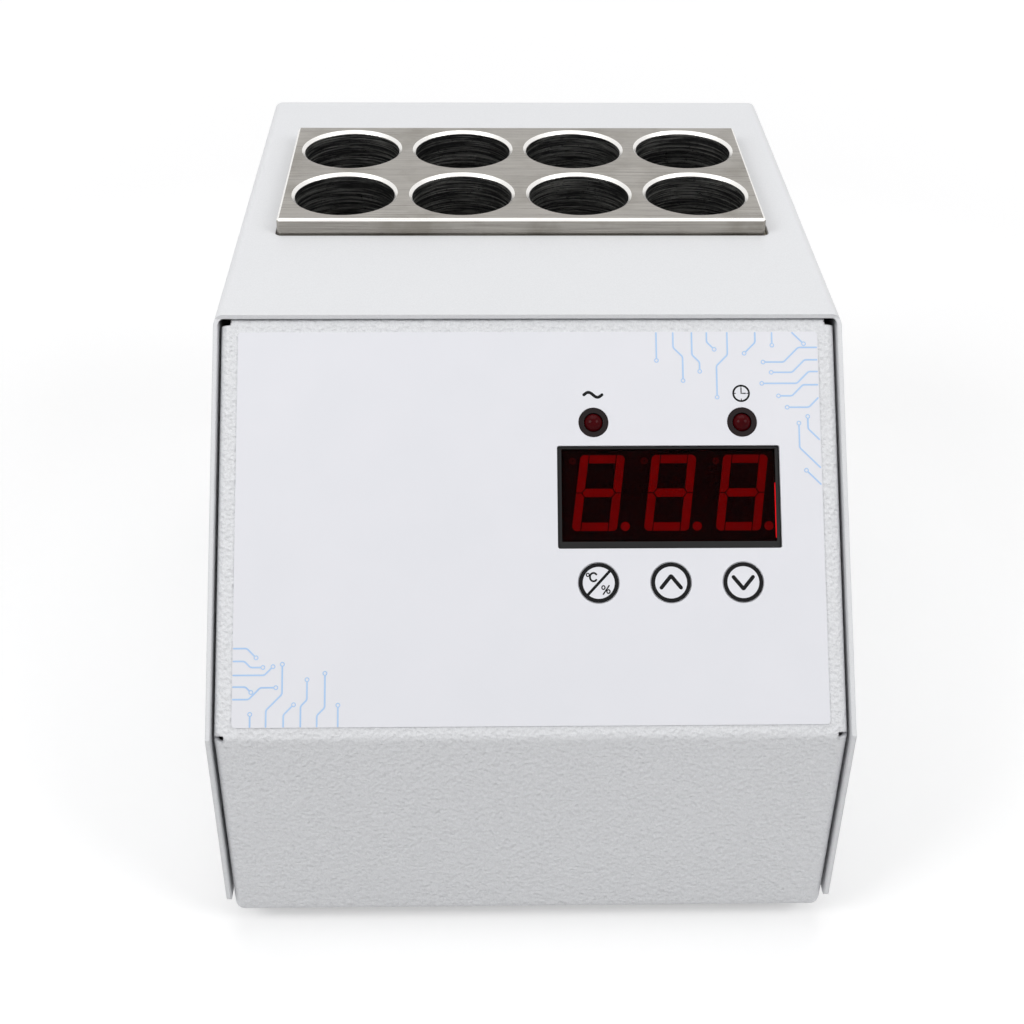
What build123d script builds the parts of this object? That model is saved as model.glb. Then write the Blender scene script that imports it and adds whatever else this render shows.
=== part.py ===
from build123d import *
import math
import os

# A dry bath incubator with eight wells, in millimetres: x to the right, y away from the user, z up
# Depths are measured back from the front edge of the cover

# Case
side_land = 12.5
front_land = 50.5
rear_land = 35.7
case_top = 153.2
knee_height = 70.2
slope_run = 75.2
foot_height = 5.0
cover_lift = 4.2
sheet = 1.2
bend_inside = 1.5
cover_gap = 0.7
panel_recess = 0.3
panel_flange = 11.0
bottom_flange = 15.0
top_flange = 14.0
notch_width = 1.4

# Heating block and what carries it
well_bore = 30.0
well_depth = 58.0
well_pitch = 35.2
well_columns = 4
well_rows = 2
block_wall = 3.7
block_floor = 8.0
block_chamfer = 0.7
rim_chamfer = 0.9
block_proud = 4.8
block_shift = -0.6
cutout_gap = 0.9
cutout_corner = 2.0
mat_thick = 1.5
clamp_thick = 3.0
pad_thick = 8.0
jacket_thick = 8.0
jacket_gap = 0.3
carrier_sheet = 1.5
carrier_foot = 14.0
carrier_length = 90.0
side_clearance = 1.6
block_screw_side = 11.5
block_screw_end = 11.3
block_screw_grip = 6.0
probe_length = 30.0
probe_sheath = 39.7
cutout_body_height = 9.5
cutout_body_radius = 8.0
cutout_blade_offset = 4.0

# Control panel on the sloped face: up from the knee, down from the crest, in from the right-hand side
label_side = 6.7
label_low = 3.1
label_high = 3.0
label_thick = 0.35
label_corner = 1.0
controls_side = 47.3
window_width = 59.0
window_height = 27.4
window_drop = 47.52
window_face_width = 56.7
window_face_height = 24.7
window_face_rise = 0.55
window_setback = 0.4
filter_thick = 1.5
filter_setback = 0.2
bezel_rim = 2.6
bezel_lip = 1.0
bezel_back = 1.2
digit_height = 20.3
digit_pitch = 19.05
digit_shift = 0.6
digit_rise = 0.9
digit_width = 11.9
digit_slant = 7.2
segment_width = 2.2
segment_gap = 0.27
segment_thick = 0.4
segment_tip = 0.8
segment_corner = 1.2
point_radius = 1.2
point_gap = 1.0
display_depth = 10.0
lamp_pitch = 39.5
lamp_rise = 19.95
lamp_hole = 8.0
lamp_bore = 5.1
lamp_dome = 5.0
lamp_flange = 5.8
lamp_shoulder = 0.8
lamp_sink = 0.9
key_pitch = 18.95
key_drop = 22.7
key_cap = 10.6
key_gap = 0.15
key_travel = 0.5
key_rim = 1.0
key_rim_thick = 1.0
key_stem = 4.0
plunger_radius = 1.75
tact_side = 6.2
tact_height = 3.6
display_board_drop = 14.4
display_board_gap = 2.2
display_board_height = 66.0
display_board_shift = 0.3
board_thick = 1.6
board_inset = 4.0

# Control board on the floor of the case
control_board_side = 14.9
control_board_front = 27.0
control_board_end = 8.0
control_board_across = -5.0
standoff_flats = 5.5
board_lift = 8.0
header_across = 15.0
header_inset = 43.0
header_drop = 18.5
header_height = 8.5
plug_height = 2.5
terminal_pitch = 7.62
terminal_length = 12.0
terminal_across = 5.0
terminal_inset = 9.0
terminal_rise = 5.0
probe_plug_across = -35.0
ribbon_width = 12.7
ribbon_thick = 1.0
ribbon_bend = 8.0

# Back panel
inlet_across = 42.0
inlet_height = 42.0
inlet_flange_width = 50.0
inlet_flange_height = 35.0
inlet_flange_thick = 3.0
inlet_body_width = 28.0
inlet_body_height = 31.0
inlet_body_depth = 24.0
inlet_fit = 0.3
socket_width = 24.6
socket_height = 16.6
socket_depth = 17.0
socket_rise = 5.6
pin_spacing = 14.0
pin_offset = 4.0
drawer_width = 20.6
drawer_height = 7.6
drawer_slot_gap = 0.25
drawer_drop = 9.3
drawer_length = 23.0
drawer_lip = 2.0
drawer_proud = 0.6
drawer_travel = 20.0
fuse_radius = 2.6
fuse_length = 20.0
fuse_spacing = 9.0
inlet_screw_pitch = 40.0
switch_across = -42.0
switch_height = 42.0
switch_bezel_width = 15.0
switch_bezel_height = 21.0
switch_bezel_thick = 2.0
switch_body_width = 12.8
switch_body_height = 19.0
switch_body_depth = 13.0
switch_wall = 0.7
rocker_radius = 8.6
rocker_depth = 4.0
rocker_proud = 0.3
rocker_tilt = 10.0
rocker_side_gap = 0.3
rocker_pin = 1.5
blade_offset = 3.6
blade_length = 8.0
pin_clearance = 0.05
vent_count = 13
vent_pitch = 8.0
vent_width = 3.0
vent_length = 24.0
vent_drop = 37.2

# Feet and fasteners
foot_side = 18.0
foot_front = 20.0
foot_end = 24.0
foot_radius = 7.0
foot_taper = 0.8
foot_recess = 2.6
m3 = 3.0
m4 = 4.0
thread_clearance = 0.05
hole_clearance = 0.2
cover_screw_up = 9.2
cover_screw_front = 30.0
cover_screw_end = 18.0
screw_length = 8.0
earth_end = 12.0
earth_side = 30.0
lead_radius = 1.1
lead_bend = 6.0
sleeve_length = 10.0
stud_nut = 3.2

# Where the leads run: in front of the rear edge, behind the terminal block, or above the bench
live_run = 54.0
neutral_run = 48.0
earth_run = 46.0
switched_run = 42.0
mat_run = 22.0
cutout_run = 30.0
mat_lead_low = 34.0
cutout_lead_low = 42.0
mat_lead_high = 50.0
probe_lead_up = 62.0
mat_lead_offset = 1.8

# Sizes worked out from the ones above
block_width = (well_columns - 1) * well_pitch + well_bore + 2 * block_wall
block_length = (well_rows - 1) * well_pitch + well_bore + 2 * block_wall
block_back = slope_run + front_land + block_length / 2
case_width = block_width + 2 * side_land
case_depth = block_back + block_length / 2 + rear_land
bend_outside = bend_inside + sheet
chassis_half = case_width / 2 - sheet - cover_gap
rib_half = chassis_half - bend_outside
cover_inside = case_width / 2 - sheet
floor_top = foot_height + sheet
chassis_top = case_top - sheet - cover_gap
slope_rise = case_top - sheet - knee_height
slope_length = math.hypot(slope_run, slope_rise)
slope_cos = slope_run / slope_length
slope_sin = slope_rise / slope_length
knee_back = panel_recess
knee_z = knee_height - panel_recess / slope_cos + panel_recess * slope_sin / slope_cos
crest_back = knee_back + (chassis_top - knee_z) * slope_cos / slope_sin
panel_length = math.hypot(crest_back - knee_back, chassis_top - knee_z)
rear_back = case_depth - panel_recess
knee_turn = math.pi / 2 - math.atan2(slope_rise, slope_run)
knee_relief = bend_outside * math.tan(knee_turn / 2)
crest_relief = bend_outside * 0.35
tilt = math.radians(rocker_tilt)
tip_a = 1 + math.tan(tilt) ** 2
tip_b = 2 * rocker_depth * math.tan(tilt)
tip_c = rocker_depth**2 - rocker_radius**2
tip_along = (math.sqrt(tip_b**2 - 4 * tip_a * tip_c) - tip_b) / (2 * tip_a)
tip_out = rocker_depth + tip_along * math.tan(tilt)
rocker_rise = tip_out * math.cos(tilt) + tip_along * math.sin(tilt) - rocker_depth + rocker_proud
rear_reach = switch_bezel_thick + rocker_rise - panel_recess
front_y = -(case_depth + rear_reach) / 2
block_height = well_depth + block_floor
block_top = case_top + block_proud
block_low = block_top - block_height
clamp_top = block_low - mat_thick
pad_top = clamp_top - clamp_thick
deck_top = pad_top - pad_thick
deck_low = deck_top - carrier_sheet
board_top = floor_top + board_lift + board_thick
carrier_half = chassis_half - sheet - side_clearance
label_width = case_width - 2 * label_side
label_height = panel_length - label_low - label_high
controls_across = case_width / 2 - controls_side
window_up = panel_length - window_drop
lamp_up = window_up + lamp_rise
key_up = window_up - key_drop
display_board_up = window_up - display_board_shift
display_board_width = 2 * (chassis_half - sheet - display_board_gap - controls_across)
header_up = display_board_up - header_drop
control_board_width = 2 * (chassis_half - sheet - control_board_side)
control_board_length = block_back - carrier_length / 2 - control_board_end - control_board_front
terminal_back = control_board_length - terminal_inset
earth_back = case_depth - earth_end
earth_across = case_width / 2 - earth_side

low = (Align.CENTER, Align.CENTER, Align.MIN)
high = (Align.CENTER, Align.CENTER, Align.MAX)
os.makedirs("parts", exist_ok=True)


def at(across, back, up):
    """A place in the case: across from the middle, back from the front edge, up from the bench."""
    return Pos(across, front_y + back, up)


panel_place = Plane(
    origin=(0, front_y + knee_back, knee_z),
    x_dir=(1, 0, 0),
    z_dir=(0, -slope_sin, slope_cos),
).location


def on_panel(across, up, out=0.0):
    """A place on the sloped face: across, up the slope from the knee, and out from the face."""
    return panel_place * Pos(across, up, out)


def on_back(across, up, out=0.0):
    """A place on the back panel's outer face, whose local z axis points away from the case."""
    plane = Plane(origin=(across, front_y + rear_back + out, up), x_dir=(-1, 0, 0), z_dir=(0, 1, 0))
    return plane.location


def on_board(across, back):
    """A place on the control board's top: across from its middle and back from its front edge."""
    return at(control_board_across + across, control_board_front + back, board_top)


def side_profile(points):
    """A face in the fore-and-aft plane from (depth, height) corners."""
    moved = [(front_y + back, up) for back, up in points]
    return Plane.YZ * Polygon(*moved, align=None)


def tube(outer, inner, height):
    return Cylinder(outer, height, align=low) - Cylinder(inner, height, align=low)


# Sheet metal case
def chassis_corners():
    return [
        (crest_back, chassis_top),
        (knee_back, knee_z),
        (panel_recess, foot_height),
        (rear_back, foot_height),
        (rear_back, chassis_top),
    ]


def chassis_ribbon():
    """Front, bottom and back as one folded strip, with short returns under the cover's top."""
    face = side_profile(chassis_corners())
    outer = fillet(face.vertices(), bend_outside)
    inner = offset(outer, amount=-sheet)
    strip = extrude(outer - inner, amount=rib_half, both=True)
    opening_front = crest_back + top_flange
    opening_rear = rear_back - top_flange
    middle = (opening_front + opening_rear) / 2
    gap = Box(case_width, opening_rear - opening_front, 4 * sheet)
    return strip - at(0, middle, chassis_top) * gap


def edge_flange(start, end, leg):
    """The bend and leg along one side of a flat stretch, for both sides of the case."""
    run_back = end[0] - start[0]
    run_up = end[1] - start[1]
    length = math.hypot(run_back, run_up)
    plane = Plane(
        origin=(0, front_y + start[0], start[1]),
        x_dir=(1, 0, 0),
        z_dir=(0, run_back / length, run_up / length),
    )
    bend = Pos(rib_half, bend_outside) * (Circle(bend_outside) - Circle(bend_inside))
    corner = Pos(rib_half, 0) * Rectangle(bend_outside, bend_outside, align=(Align.MIN, Align.MIN))
    upright = Pos(chassis_half - sheet, bend_outside) * Rectangle(
        sheet, leg - bend_outside, align=(Align.MIN, Align.MIN)
    )
    right = extrude(plane * ((bend & corner) + upright), amount=length)
    return right + mirror(right, about=Plane.YZ)


def ball_corner(back, up, back_sign):
    """The dressed corner where the folds of the bottom meet those of an upright face."""
    ball = Sphere(bend_outside) - Sphere(bend_inside)
    part = Box(bend_outside, bend_outside, bend_outside, align=(Align.MIN, Align.MIN, Align.MAX))
    if back_sign < 0:
        part = mirror(part, about=Plane.XZ)
    right = at(rib_half, back, up) * (ball & part)
    return right + mirror(right, about=Plane.YZ)


def chassis_holes():
    """Everything that is cut through the folded sheet."""
    depth = 4 * sheet
    cuts = []
    window = extrude(RectangleRounded(window_width, window_height, 0.6), amount=depth, both=True)
    cuts.append(on_panel(controls_across, window_up) * window)
    for side in (-1, 1):
        lamp = Cylinder(lamp_hole / 2, 2 * depth)
        cuts.append(on_panel(controls_across + side * lamp_pitch / 2, lamp_up) * lamp)
    for column in (-1, 0, 1):
        key = Cylinder(key_cap / 2 + key_gap, 2 * depth)
        cuts.append(on_panel(controls_across + column * key_pitch, key_up) * key)
    inlet = Box(inlet_body_width + 2 * inlet_fit, inlet_body_height + 2 * inlet_fit, 2 * depth)
    cuts.append(on_back(inlet_across, inlet_height) * inlet)
    for side in (-1, 1):
        hole = Cylinder(m3 / 2 + hole_clearance, 2 * depth)
        cuts.append(on_back(inlet_across + side * inlet_screw_pitch / 2, inlet_height) * hole)
    switch = Box(switch_body_width + 2 * inlet_fit, switch_body_height + 2 * inlet_fit, 2 * depth)
    cuts.append(on_back(switch_across, switch_height) * switch)
    slot = extrude(SlotOverall(vent_length, vent_width, rotation=90), amount=depth, both=True)
    for index in range(vent_count):
        across = (index - (vent_count - 1) / 2) * vent_pitch
        cuts.append(on_back(across, case_top - vent_drop) * slot)
    for across, back in foot_places():
        cuts.append(at(across, back, foot_height) * Cylinder(m3 / 2 + hole_clearance, depth))
    for across, back in carrier_screw_places():
        cuts.append(at(across, back, foot_height) * Cylinder(m4 / 2 + hole_clearance, depth))
    for across, back in control_board_corners():
        cuts.append(at(across, back, foot_height) * Cylinder(m3 / 2 + hole_clearance, depth))
    for side in (-1, 1):
        for back in (cover_screw_front, case_depth - cover_screw_end):
            hole = Rot(0, 90, 0) * Cylinder(m3 / 2 + thread_clearance, depth)
            cuts.append(at(side * chassis_half, back, cover_screw_up + foot_height) * hole)
    cuts.append(at(earth_across, earth_back, foot_height) * Cylinder(m4 / 2 + hole_clearance, depth))
    return cuts


def chassis():
    body = chassis_ribbon()
    low_line = foot_height + bend_outside
    flat_start = panel_recess + bend_outside
    body += edge_flange((rear_back, chassis_top - bend_outside), (rear_back, low_line), panel_flange)
    body += edge_flange((rear_back - bend_outside, foot_height), (flat_start, foot_height), bottom_flange)
    body += edge_flange((panel_recess, low_line), (panel_recess, knee_z - knee_relief), panel_flange)
    slope_start = (knee_back + knee_relief * slope_cos, knee_z + knee_relief * slope_sin)
    slope_end = (crest_back - crest_relief * slope_cos, chassis_top - crest_relief * slope_sin)
    body += edge_flange(slope_start, slope_end, panel_flange)
    body += ball_corner(flat_start, low_line, -1)
    body += ball_corner(rear_back - bend_outside, low_line, 1)
    for side in (-1, 1):
        top_notch = Rot(0, 0, 45) * Box(notch_width, notch_width, 6 * sheet)
        body -= on_panel(side * (rib_half + notch_width / 2), panel_length) * top_notch
    for cut in chassis_holes():
        body -= cut
    return body


def top_cover():
    """Top and two sides folded from one sheet, its front edges cut to the line of the sloped panel."""
    cover_low = foot_height + cover_lift
    section = Rectangle(case_width, 2 * case_top, align=(Align.CENTER, Align.MAX))
    section = fillet(section.vertices().group_by(Axis.Y)[-1], bend_outside)
    hollow = Rectangle(2 * cover_inside, 2 * case_top, align=(Align.CENTER, Align.MAX))
    hollow = Pos(0, -sheet) * fillet(hollow.vertices().group_by(Axis.Y)[-1], bend_inside)
    plane = Plane(origin=(0, front_y, case_top), x_dir=(-1, 0, 0), z_dir=(0, 1, 0))
    shell = extrude(plane * (section - hollow), amount=case_depth)
    outline = side_profile(
        [
            (0, cover_low),
            (0, knee_height),
            (slope_run, case_top - sheet),
            (slope_run, case_top),
            (case_depth, case_top),
            (case_depth, cover_low),
        ]
    )
    corners = [v for v in outline.vertices() if v.Z < cover_low + sheet]
    outline = fillet(corners, 2 * sheet)
    shell = shell & extrude(outline, amount=case_width, both=True)
    opening = extrude(
        RectangleRounded(block_width + 2 * cutout_gap, block_length + 2 * cutout_gap, cutout_corner),
        amount=4 * sheet,
        both=True,
    )
    shell -= at(block_shift / 2, block_back, case_top) * opening
    for side in (-1, 1):
        for back in (cover_screw_front, case_depth - cover_screw_end):
            hole = Rot(0, 90, 0) * Cylinder(m3 / 2 + hole_clearance, 6 * sheet)
            shell -= at(side * case_width / 2, back, cover_screw_up + foot_height) * hole
    return shell


# Control panel
def lamp_places():
    return [controls_across + side * lamp_pitch / 2 for side in (-1, 1)]


def key_places():
    return [controls_across + column * key_pitch for column in (-1, 0, 1)]


def front_label():
    """Printed film on the sloped face, with a window and a hole for each lamp and key."""
    film = extrude(RectangleRounded(label_width, label_height, label_corner), amount=label_thick)
    film = on_panel(0, label_low + label_height / 2) * film
    window = extrude(RectangleRounded(window_width, window_height, 0.6), amount=2 * label_thick, both=True)
    film -= on_panel(controls_across, window_up) * window
    for across in lamp_places():
        film -= on_panel(across, lamp_up) * Cylinder(lamp_hole / 2, 4 * label_thick)
    for across in key_places():
        film -= on_panel(across, key_up) * Cylinder(key_cap / 2 + key_gap, 4 * label_thick)
    return film


def face_up():
    return window_up + window_face_rise


def display_bezel():
    """Black frame behind the window: a stepped rim that holds the filter against the display."""
    rim_gap = 0.2
    front = Box(window_width - 2 * rim_gap, window_height - 2 * rim_gap, sheet - window_setback, align=high)
    frame = on_panel(controls_across, window_up, -window_setback) * front
    flange = Box(window_width + 2 * bezel_rim, window_height + 2 * bezel_lip, bezel_back, align=high)
    frame += on_panel(controls_across, window_up, -sheet) * flange
    opening = Box(window_face_width, window_face_height, 4 * sheet)
    return frame - on_panel(controls_across, face_up(), -sheet) * opening


def display_filter():
    """Dark red acrylic pane in the bezel."""
    edge_gap = 0.1
    pane = Box(window_face_width - 2 * edge_gap, window_face_height - 2 * edge_gap, filter_thick, align=high)
    pane = chamfer(pane.edges().group_by(Axis.Z)[-1], 0.2)
    return on_panel(controls_across, face_up(), -window_setback - filter_setback) * pane


def display_front():
    """How far behind the face the display's own face lies."""
    return -sheet - bezel_back


def leaning_face(points, side=1, level=1):
    """A flat face from upright corner points, turned over to one side or level and leaned to the right."""
    slope = math.tan(math.radians(digit_slant))
    turned = [(side * across, level * up) for across, up in points]
    if side * level < 0:
        turned.reverse()
    return Polygon(*[(across + slope * up, up) for across, up in turned], align=None)


def digit_bars():
    """One digit's seven bars: the uprights own the rounded corners, the level bars lie between them."""
    half = digit_height / 2
    outer = digit_width / 2
    inner = outer - segment_width
    level_half = inner - segment_gap
    point = segment_width / 2
    cut = segment_gap / 2
    tip = level_half + segment_tip
    lower = [(-tip, 0), (-level_half, -point), (level_half, -point)]
    middle = lower + [(-across, -up) for across, up in lower]
    top_low = half - segment_width
    top = [(-level_half, top_low), (level_half, top_low), (level_half, half), (-level_half, half)]
    upright = [(inner, cut + point), (inner + segment_tip, cut), (outer, cut), (outer, half), (inner, half)]
    slope = math.tan(math.radians(digit_slant))
    bars = [leaning_face(middle)]
    for level in (-1, 1):
        bars.append(leaning_face(top, level=level))
        for side in (-1, 1):
            bar = leaning_face(upright, side, level)
            corner = (side * outer + slope * level * half, level * half, 0)
            bars.append(fillet(bar.vertices().sort_by_distance(corner)[0], segment_corner))
    return bars


def display_segments():
    """The light bars of three digits with their points, laid into the display's face."""
    solids = []
    for index in (-1, 0, 1):
        centre = controls_across + digit_shift + index * digit_pitch
        place = on_panel(centre, face_up() + digit_rise, display_front())
        for bar in digit_bars():
            solids.append(place * extrude(bar, amount=-segment_thick))
        point = Cylinder(point_radius, segment_thick, align=high)
        solids.append(place * Pos(digit_width / 2 + point_gap, point_radius - digit_height / 2) * point)
    return solids


def display_housing():
    """The digits' black housing, with a pocket for each light bar."""
    body = Box(window_width + 1.0, window_height + 0.3, display_depth, align=high)
    body = on_panel(controls_across, window_up, display_front()) * body
    for solid in display_segments():
        body -= solid
    return body


def lamp_holders():
    """Black bushes that carry the two lamps in the panel."""
    bush_gap = 0.1
    holders = []
    for across in lamp_places():
        bush = Cylinder(lamp_hole / 2 - bush_gap, sheet + label_thick - 0.1, align=low)
        shoulder = Cylinder(lamp_hole / 2 + lamp_shoulder, 1.4, align=high)
        bore = Cylinder(lamp_bore / 2, 4 * sheet)
        holders.append(on_panel(across, lamp_up, -sheet) * (bush + shoulder - bore))
    return holders


def lamp(across):
    """A five millimetre domed lamp with its two wires down to the board."""
    barrel_length = sheet + 1.4
    barrel = Cylinder(lamp_dome / 2, barrel_length - lamp_sink, align=low)
    barrel = on_panel(across, lamp_up, -barrel_length) * barrel
    dome = on_panel(across, lamp_up, -lamp_sink) * Sphere(lamp_dome / 2)
    flange = on_panel(across, lamp_up, -barrel_length) * Cylinder(lamp_flange / 2, 1.0, align=high)
    body = barrel + dome + flange
    wire_length = display_board_drop - barrel_length - 1.0
    for side in (-1, 1):
        wire = Box(0.5, 0.5, wire_length, align=high)
        body += on_panel(across + side * 1.27, lamp_up, -barrel_length - 1.0) * wire
    return body


def key(across):
    """A round key flush with the label, its rim behind the sheet and its stem on the switch."""
    cap = on_panel(across, key_up, -sheet) * Cylinder(key_cap / 2, sheet + label_thick, align=low)
    rim = on_panel(across, key_up, -sheet) * Cylinder(key_cap / 2 + key_rim, key_rim_thick, align=high)
    stem_length = display_board_drop - sheet - key_rim_thick - tact_height - 1.0
    stem = on_panel(across, key_up, -sheet - key_rim_thick) * Cylinder(key_stem / 2, stem_length, align=high)
    return cap + rim + stem


def tact_plunger(across):
    """The moving button of one tact switch."""
    top = -display_board_drop + tact_height + 1.0
    length = 1.0 + 2.0
    return on_panel(across, key_up, top) * Cylinder(plunger_radius, length, align=high)


def tact_switches():
    """Three tact switch bodies on the display board, each with a well for its plunger."""
    bodies = []
    for across in key_places():
        body = Box(tact_side, tact_side, tact_height, align=low)
        body = chamfer(body.edges().filter_by(Axis.Z), 0.5)
        well_depth_below = 2.0 + key_travel + 0.2
        well = Pos(0, 0, tact_height) * Cylinder(plunger_radius + pin_clearance, well_depth_below, align=high)
        bodies.append(on_panel(across, key_up, -display_board_drop) * (body - well))
    return bodies


def display_board_corners():
    half_width = display_board_width / 2 - board_inset
    half_height = display_board_height / 2 - board_inset
    return [
        (controls_across + side * half_width, display_board_up + level * half_height)
        for side in (-1, 1)
        for level in (-1, 1)
    ]


def display_board():
    board = Box(display_board_width, display_board_height, board_thick, align=high)
    board = on_panel(controls_across, display_board_up, -display_board_drop) * board
    for across, up in display_board_corners():
        hole = Cylinder(m3 / 2 + hole_clearance, 4 * board_thick)
        board -= on_panel(across, up, -display_board_drop) * hole
    return board


def display_pins():
    """The display's two rows of pins down to its board."""
    pins = []
    length = display_board_drop + display_front() - display_depth
    for level in (-1, 1):
        for index in range(8):
            across = controls_across + (index - 3.5) * 5.08
            up = window_up + level * (window_height / 2 - 2.5)
            pin = Cylinder(0.3, length, align=high)
            pins.append(on_panel(across, up, display_front() - display_depth) * pin)
    return pins


def hex_post(length):
    """A threaded hexagonal spacer."""
    bolt_hole = Cylinder(m3 / 2 + thread_clearance, length, align=low)
    return extrude(RegularPolygon(standoff_flats / 2, 6, major_radius=False), amount=length) - bolt_hole


def display_standoffs():
    length = display_board_drop - sheet
    post = hex_post(length)
    return [on_panel(across, up, -display_board_drop) * post for across, up in display_board_corners()]


def pan_screw(diameter, length, head_height=2.0):
    """A pan-head screw whose head sits on z = 0 and whose shank runs down."""
    head = Cylinder(diameter * 0.93, head_height, align=low)
    head = fillet(head.edges().group_by(Axis.Z)[-1], head_height * 0.4)
    cross = Box(diameter * 0.9, diameter * 0.2, head_height * 0.6, align=high)
    recess = cross + Rot(0, 0, 90) * cross
    shank = Cylinder(diameter / 2, length, align=high)
    return head - Pos(0, 0, head_height) * recess + shank


def board_screws():
    """Screws of both circuit boards, all the same size."""
    screws = []
    turned = Rot(180, 0, 0) * pan_screw(m3, 6.0)
    for across, up in display_board_corners():
        screws.append(on_panel(across, up, -display_board_drop - board_thick) * turned)
    for across, back in control_board_corners():
        screws.append(at(across, back, board_top) * pan_screw(m3, 6.0))
    return screws


def display_board_parts():
    """A processor, a sounder and two small chips on the rear of the display board."""
    out = -display_board_drop - board_thick
    parts = [on_panel(controls_across + 14, display_board_up - 0.5, out) * Box(10.0, 10.0, 1.6, align=high)]
    sounder = Cylinder(6.0, 9.0, align=high) - Pos(0, 0, -9.0) * Cylinder(1.2, 2.0, align=low)
    parts.append(on_panel(controls_across + 30, display_board_up + 17.5, out) * sounder)
    for index in (0, 1):
        place = on_panel(controls_across - 22 + 12 * index, display_board_up + 13.5, out)
        parts.append(place * Box(5.0, 10.0, 1.6, align=high))
    return parts


def ribbon_path():
    """The ribbon's middle line, from the plug on the display board to the one on the control board."""
    out = -display_board_drop - board_thick - header_height - plug_height
    start_back = knee_back + header_up * slope_cos - out * slope_sin
    start_up = knee_z + header_up * slope_sin + out * slope_cos
    end_up = board_top + header_height + plug_height
    end_back = control_board_front + header_inset
    fall = (end_back - start_back) * slope_cos / slope_sin
    return [(start_back, start_up), (end_back, start_up - fall), (end_back, end_up)]


def ribbon_cable():
    across = control_board_across + header_across
    points = [(across, front_y + back, up) for back, up in ribbon_path()]
    path = FilletPolyline(*points, radius=ribbon_bend)
    start = Plane(origin=path @ 0, x_dir=(1, 0, 0), z_dir=path % 0)
    return sweep(start * Rectangle(ribbon_width, ribbon_thick), path=path)


def ribbon_connectors():
    """A header and a plug at each end of the ribbon."""
    header = Box(17.0, 8.8, header_height, align=low)
    plug = Pos(0, 0, header_height) * Box(14.5, 5.8, plug_height, align=low)
    on_control = on_board(header_across, header_inset)
    across = control_board_across + header_across
    turned = Rot(180, 0, 0)
    on_display = on_panel(across, header_up, -display_board_drop - board_thick) * turned
    return [on_control * header, on_control * plug, on_display * header, on_display * plug]


# Heating block and its carrier
def well_places():
    return [
        (
            block_shift + (column - (well_columns - 1) / 2) * well_pitch,
            block_back + ((well_rows - 1) / 2 - row) * well_pitch,
        )
        for row in range(well_rows)
        for column in range(well_columns)
    ]


def block_screw_places():
    return [
        (
            block_shift + side * (block_width / 2 - block_screw_side),
            block_back + level * (block_length / 2 - block_screw_end),
        )
        for side in (-1, 1)
        for level in (-1, 1)
    ]


def cutout_place():
    return (block_shift + well_pitch, block_back)


def heating_block():
    """One machined block with eight wells, a probe hole and four tapped holes in its underside."""
    block = Box(block_width, block_length, block_height, align=high)
    block = chamfer(block.edges().group_by(Axis.Z)[-1], block_chamfer)
    block = chamfer(block.edges().filter_by(Axis.Z), block_chamfer)
    block = at(block_shift, block_back, block_top) * block
    for across, back in well_places():
        block -= at(across, back, block_top) * Cylinder(well_bore / 2, well_depth, align=high)
        rim = Cone(well_bore / 2, well_bore / 2 + rim_chamfer, rim_chamfer, align=high)
        block -= at(across, back, block_top) * rim
    block -= at(block_shift, block_back, block_low) * Cylinder(2.2, probe_length, align=low)
    for across, back in block_screw_places():
        hole = Cylinder(m4 / 2 + thread_clearance, block_screw_grip + 0.5, align=low)
        block -= at(across, back, block_low) * hole
    return block


def stack_holes(sheet_part, level, thick, cutout_radius):
    """Cuts the screw, probe and cut-out holes through one layer under the block."""
    for across, back in block_screw_places():
        sheet_part -= at(across, back, level) * Cylinder(m4 / 2 + hole_clearance, 3 * thick)
    sheet_part -= at(block_shift, block_back, level) * Cylinder(3.0, 3 * thick)
    if cutout_radius:
        across, back = cutout_place()
        sheet_part -= at(across, back, level) * Cylinder(cutout_radius, 3 * thick)
        sheet_part -= at(across - 2 * well_pitch, back, level) * Cylinder(4.0, 3 * thick)
    return sheet_part


def heater_mat():
    mat = at(block_shift, block_back, block_low) * Box(block_width, block_length, mat_thick, align=high)
    return stack_holes(mat, block_low, mat_thick, 0)


def clamp_plate():
    plate = at(block_shift, block_back, clamp_top) * Box(block_width, block_length, clamp_thick, align=high)
    plate = stack_holes(plate, clamp_top, clamp_thick, 0)
    across, back = cutout_place()
    return plate - at(across - 2 * well_pitch, back, clamp_top) * Cylinder(4.0, 3 * clamp_thick)


def insulation_pad():
    pad = at(block_shift, block_back, pad_top) * Box(block_width, block_length, pad_thick, align=high)
    return stack_holes(pad, pad_top, pad_thick, cutout_body_radius + jacket_gap)


def insulation_jacket():
    """Foam round the four sides of the block and its layers, up to just under the cover."""
    top = case_top - sheet - 1.0
    height = top - deck_top
    inner_width = block_width + 2 * jacket_gap
    inner_length = block_length + 2 * jacket_gap
    outer = Box(inner_width + 2 * jacket_thick, inner_length + 2 * jacket_thick, height, align=low)
    outer = fillet(outer.edges().filter_by(Axis.Z), jacket_thick)
    inner = Box(inner_width, inner_length, height, align=low)
    return at(block_shift, block_back, deck_top) * (outer - inner)


def carrier_screw_places():
    across = carrier_half - carrier_foot / 2 - carrier_sheet / 2
    return [
        (side * across, block_back + level * (carrier_length / 2 - 12.0))
        for side in (-1, 1)
        for level in (-1, 1)
    ]


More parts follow.
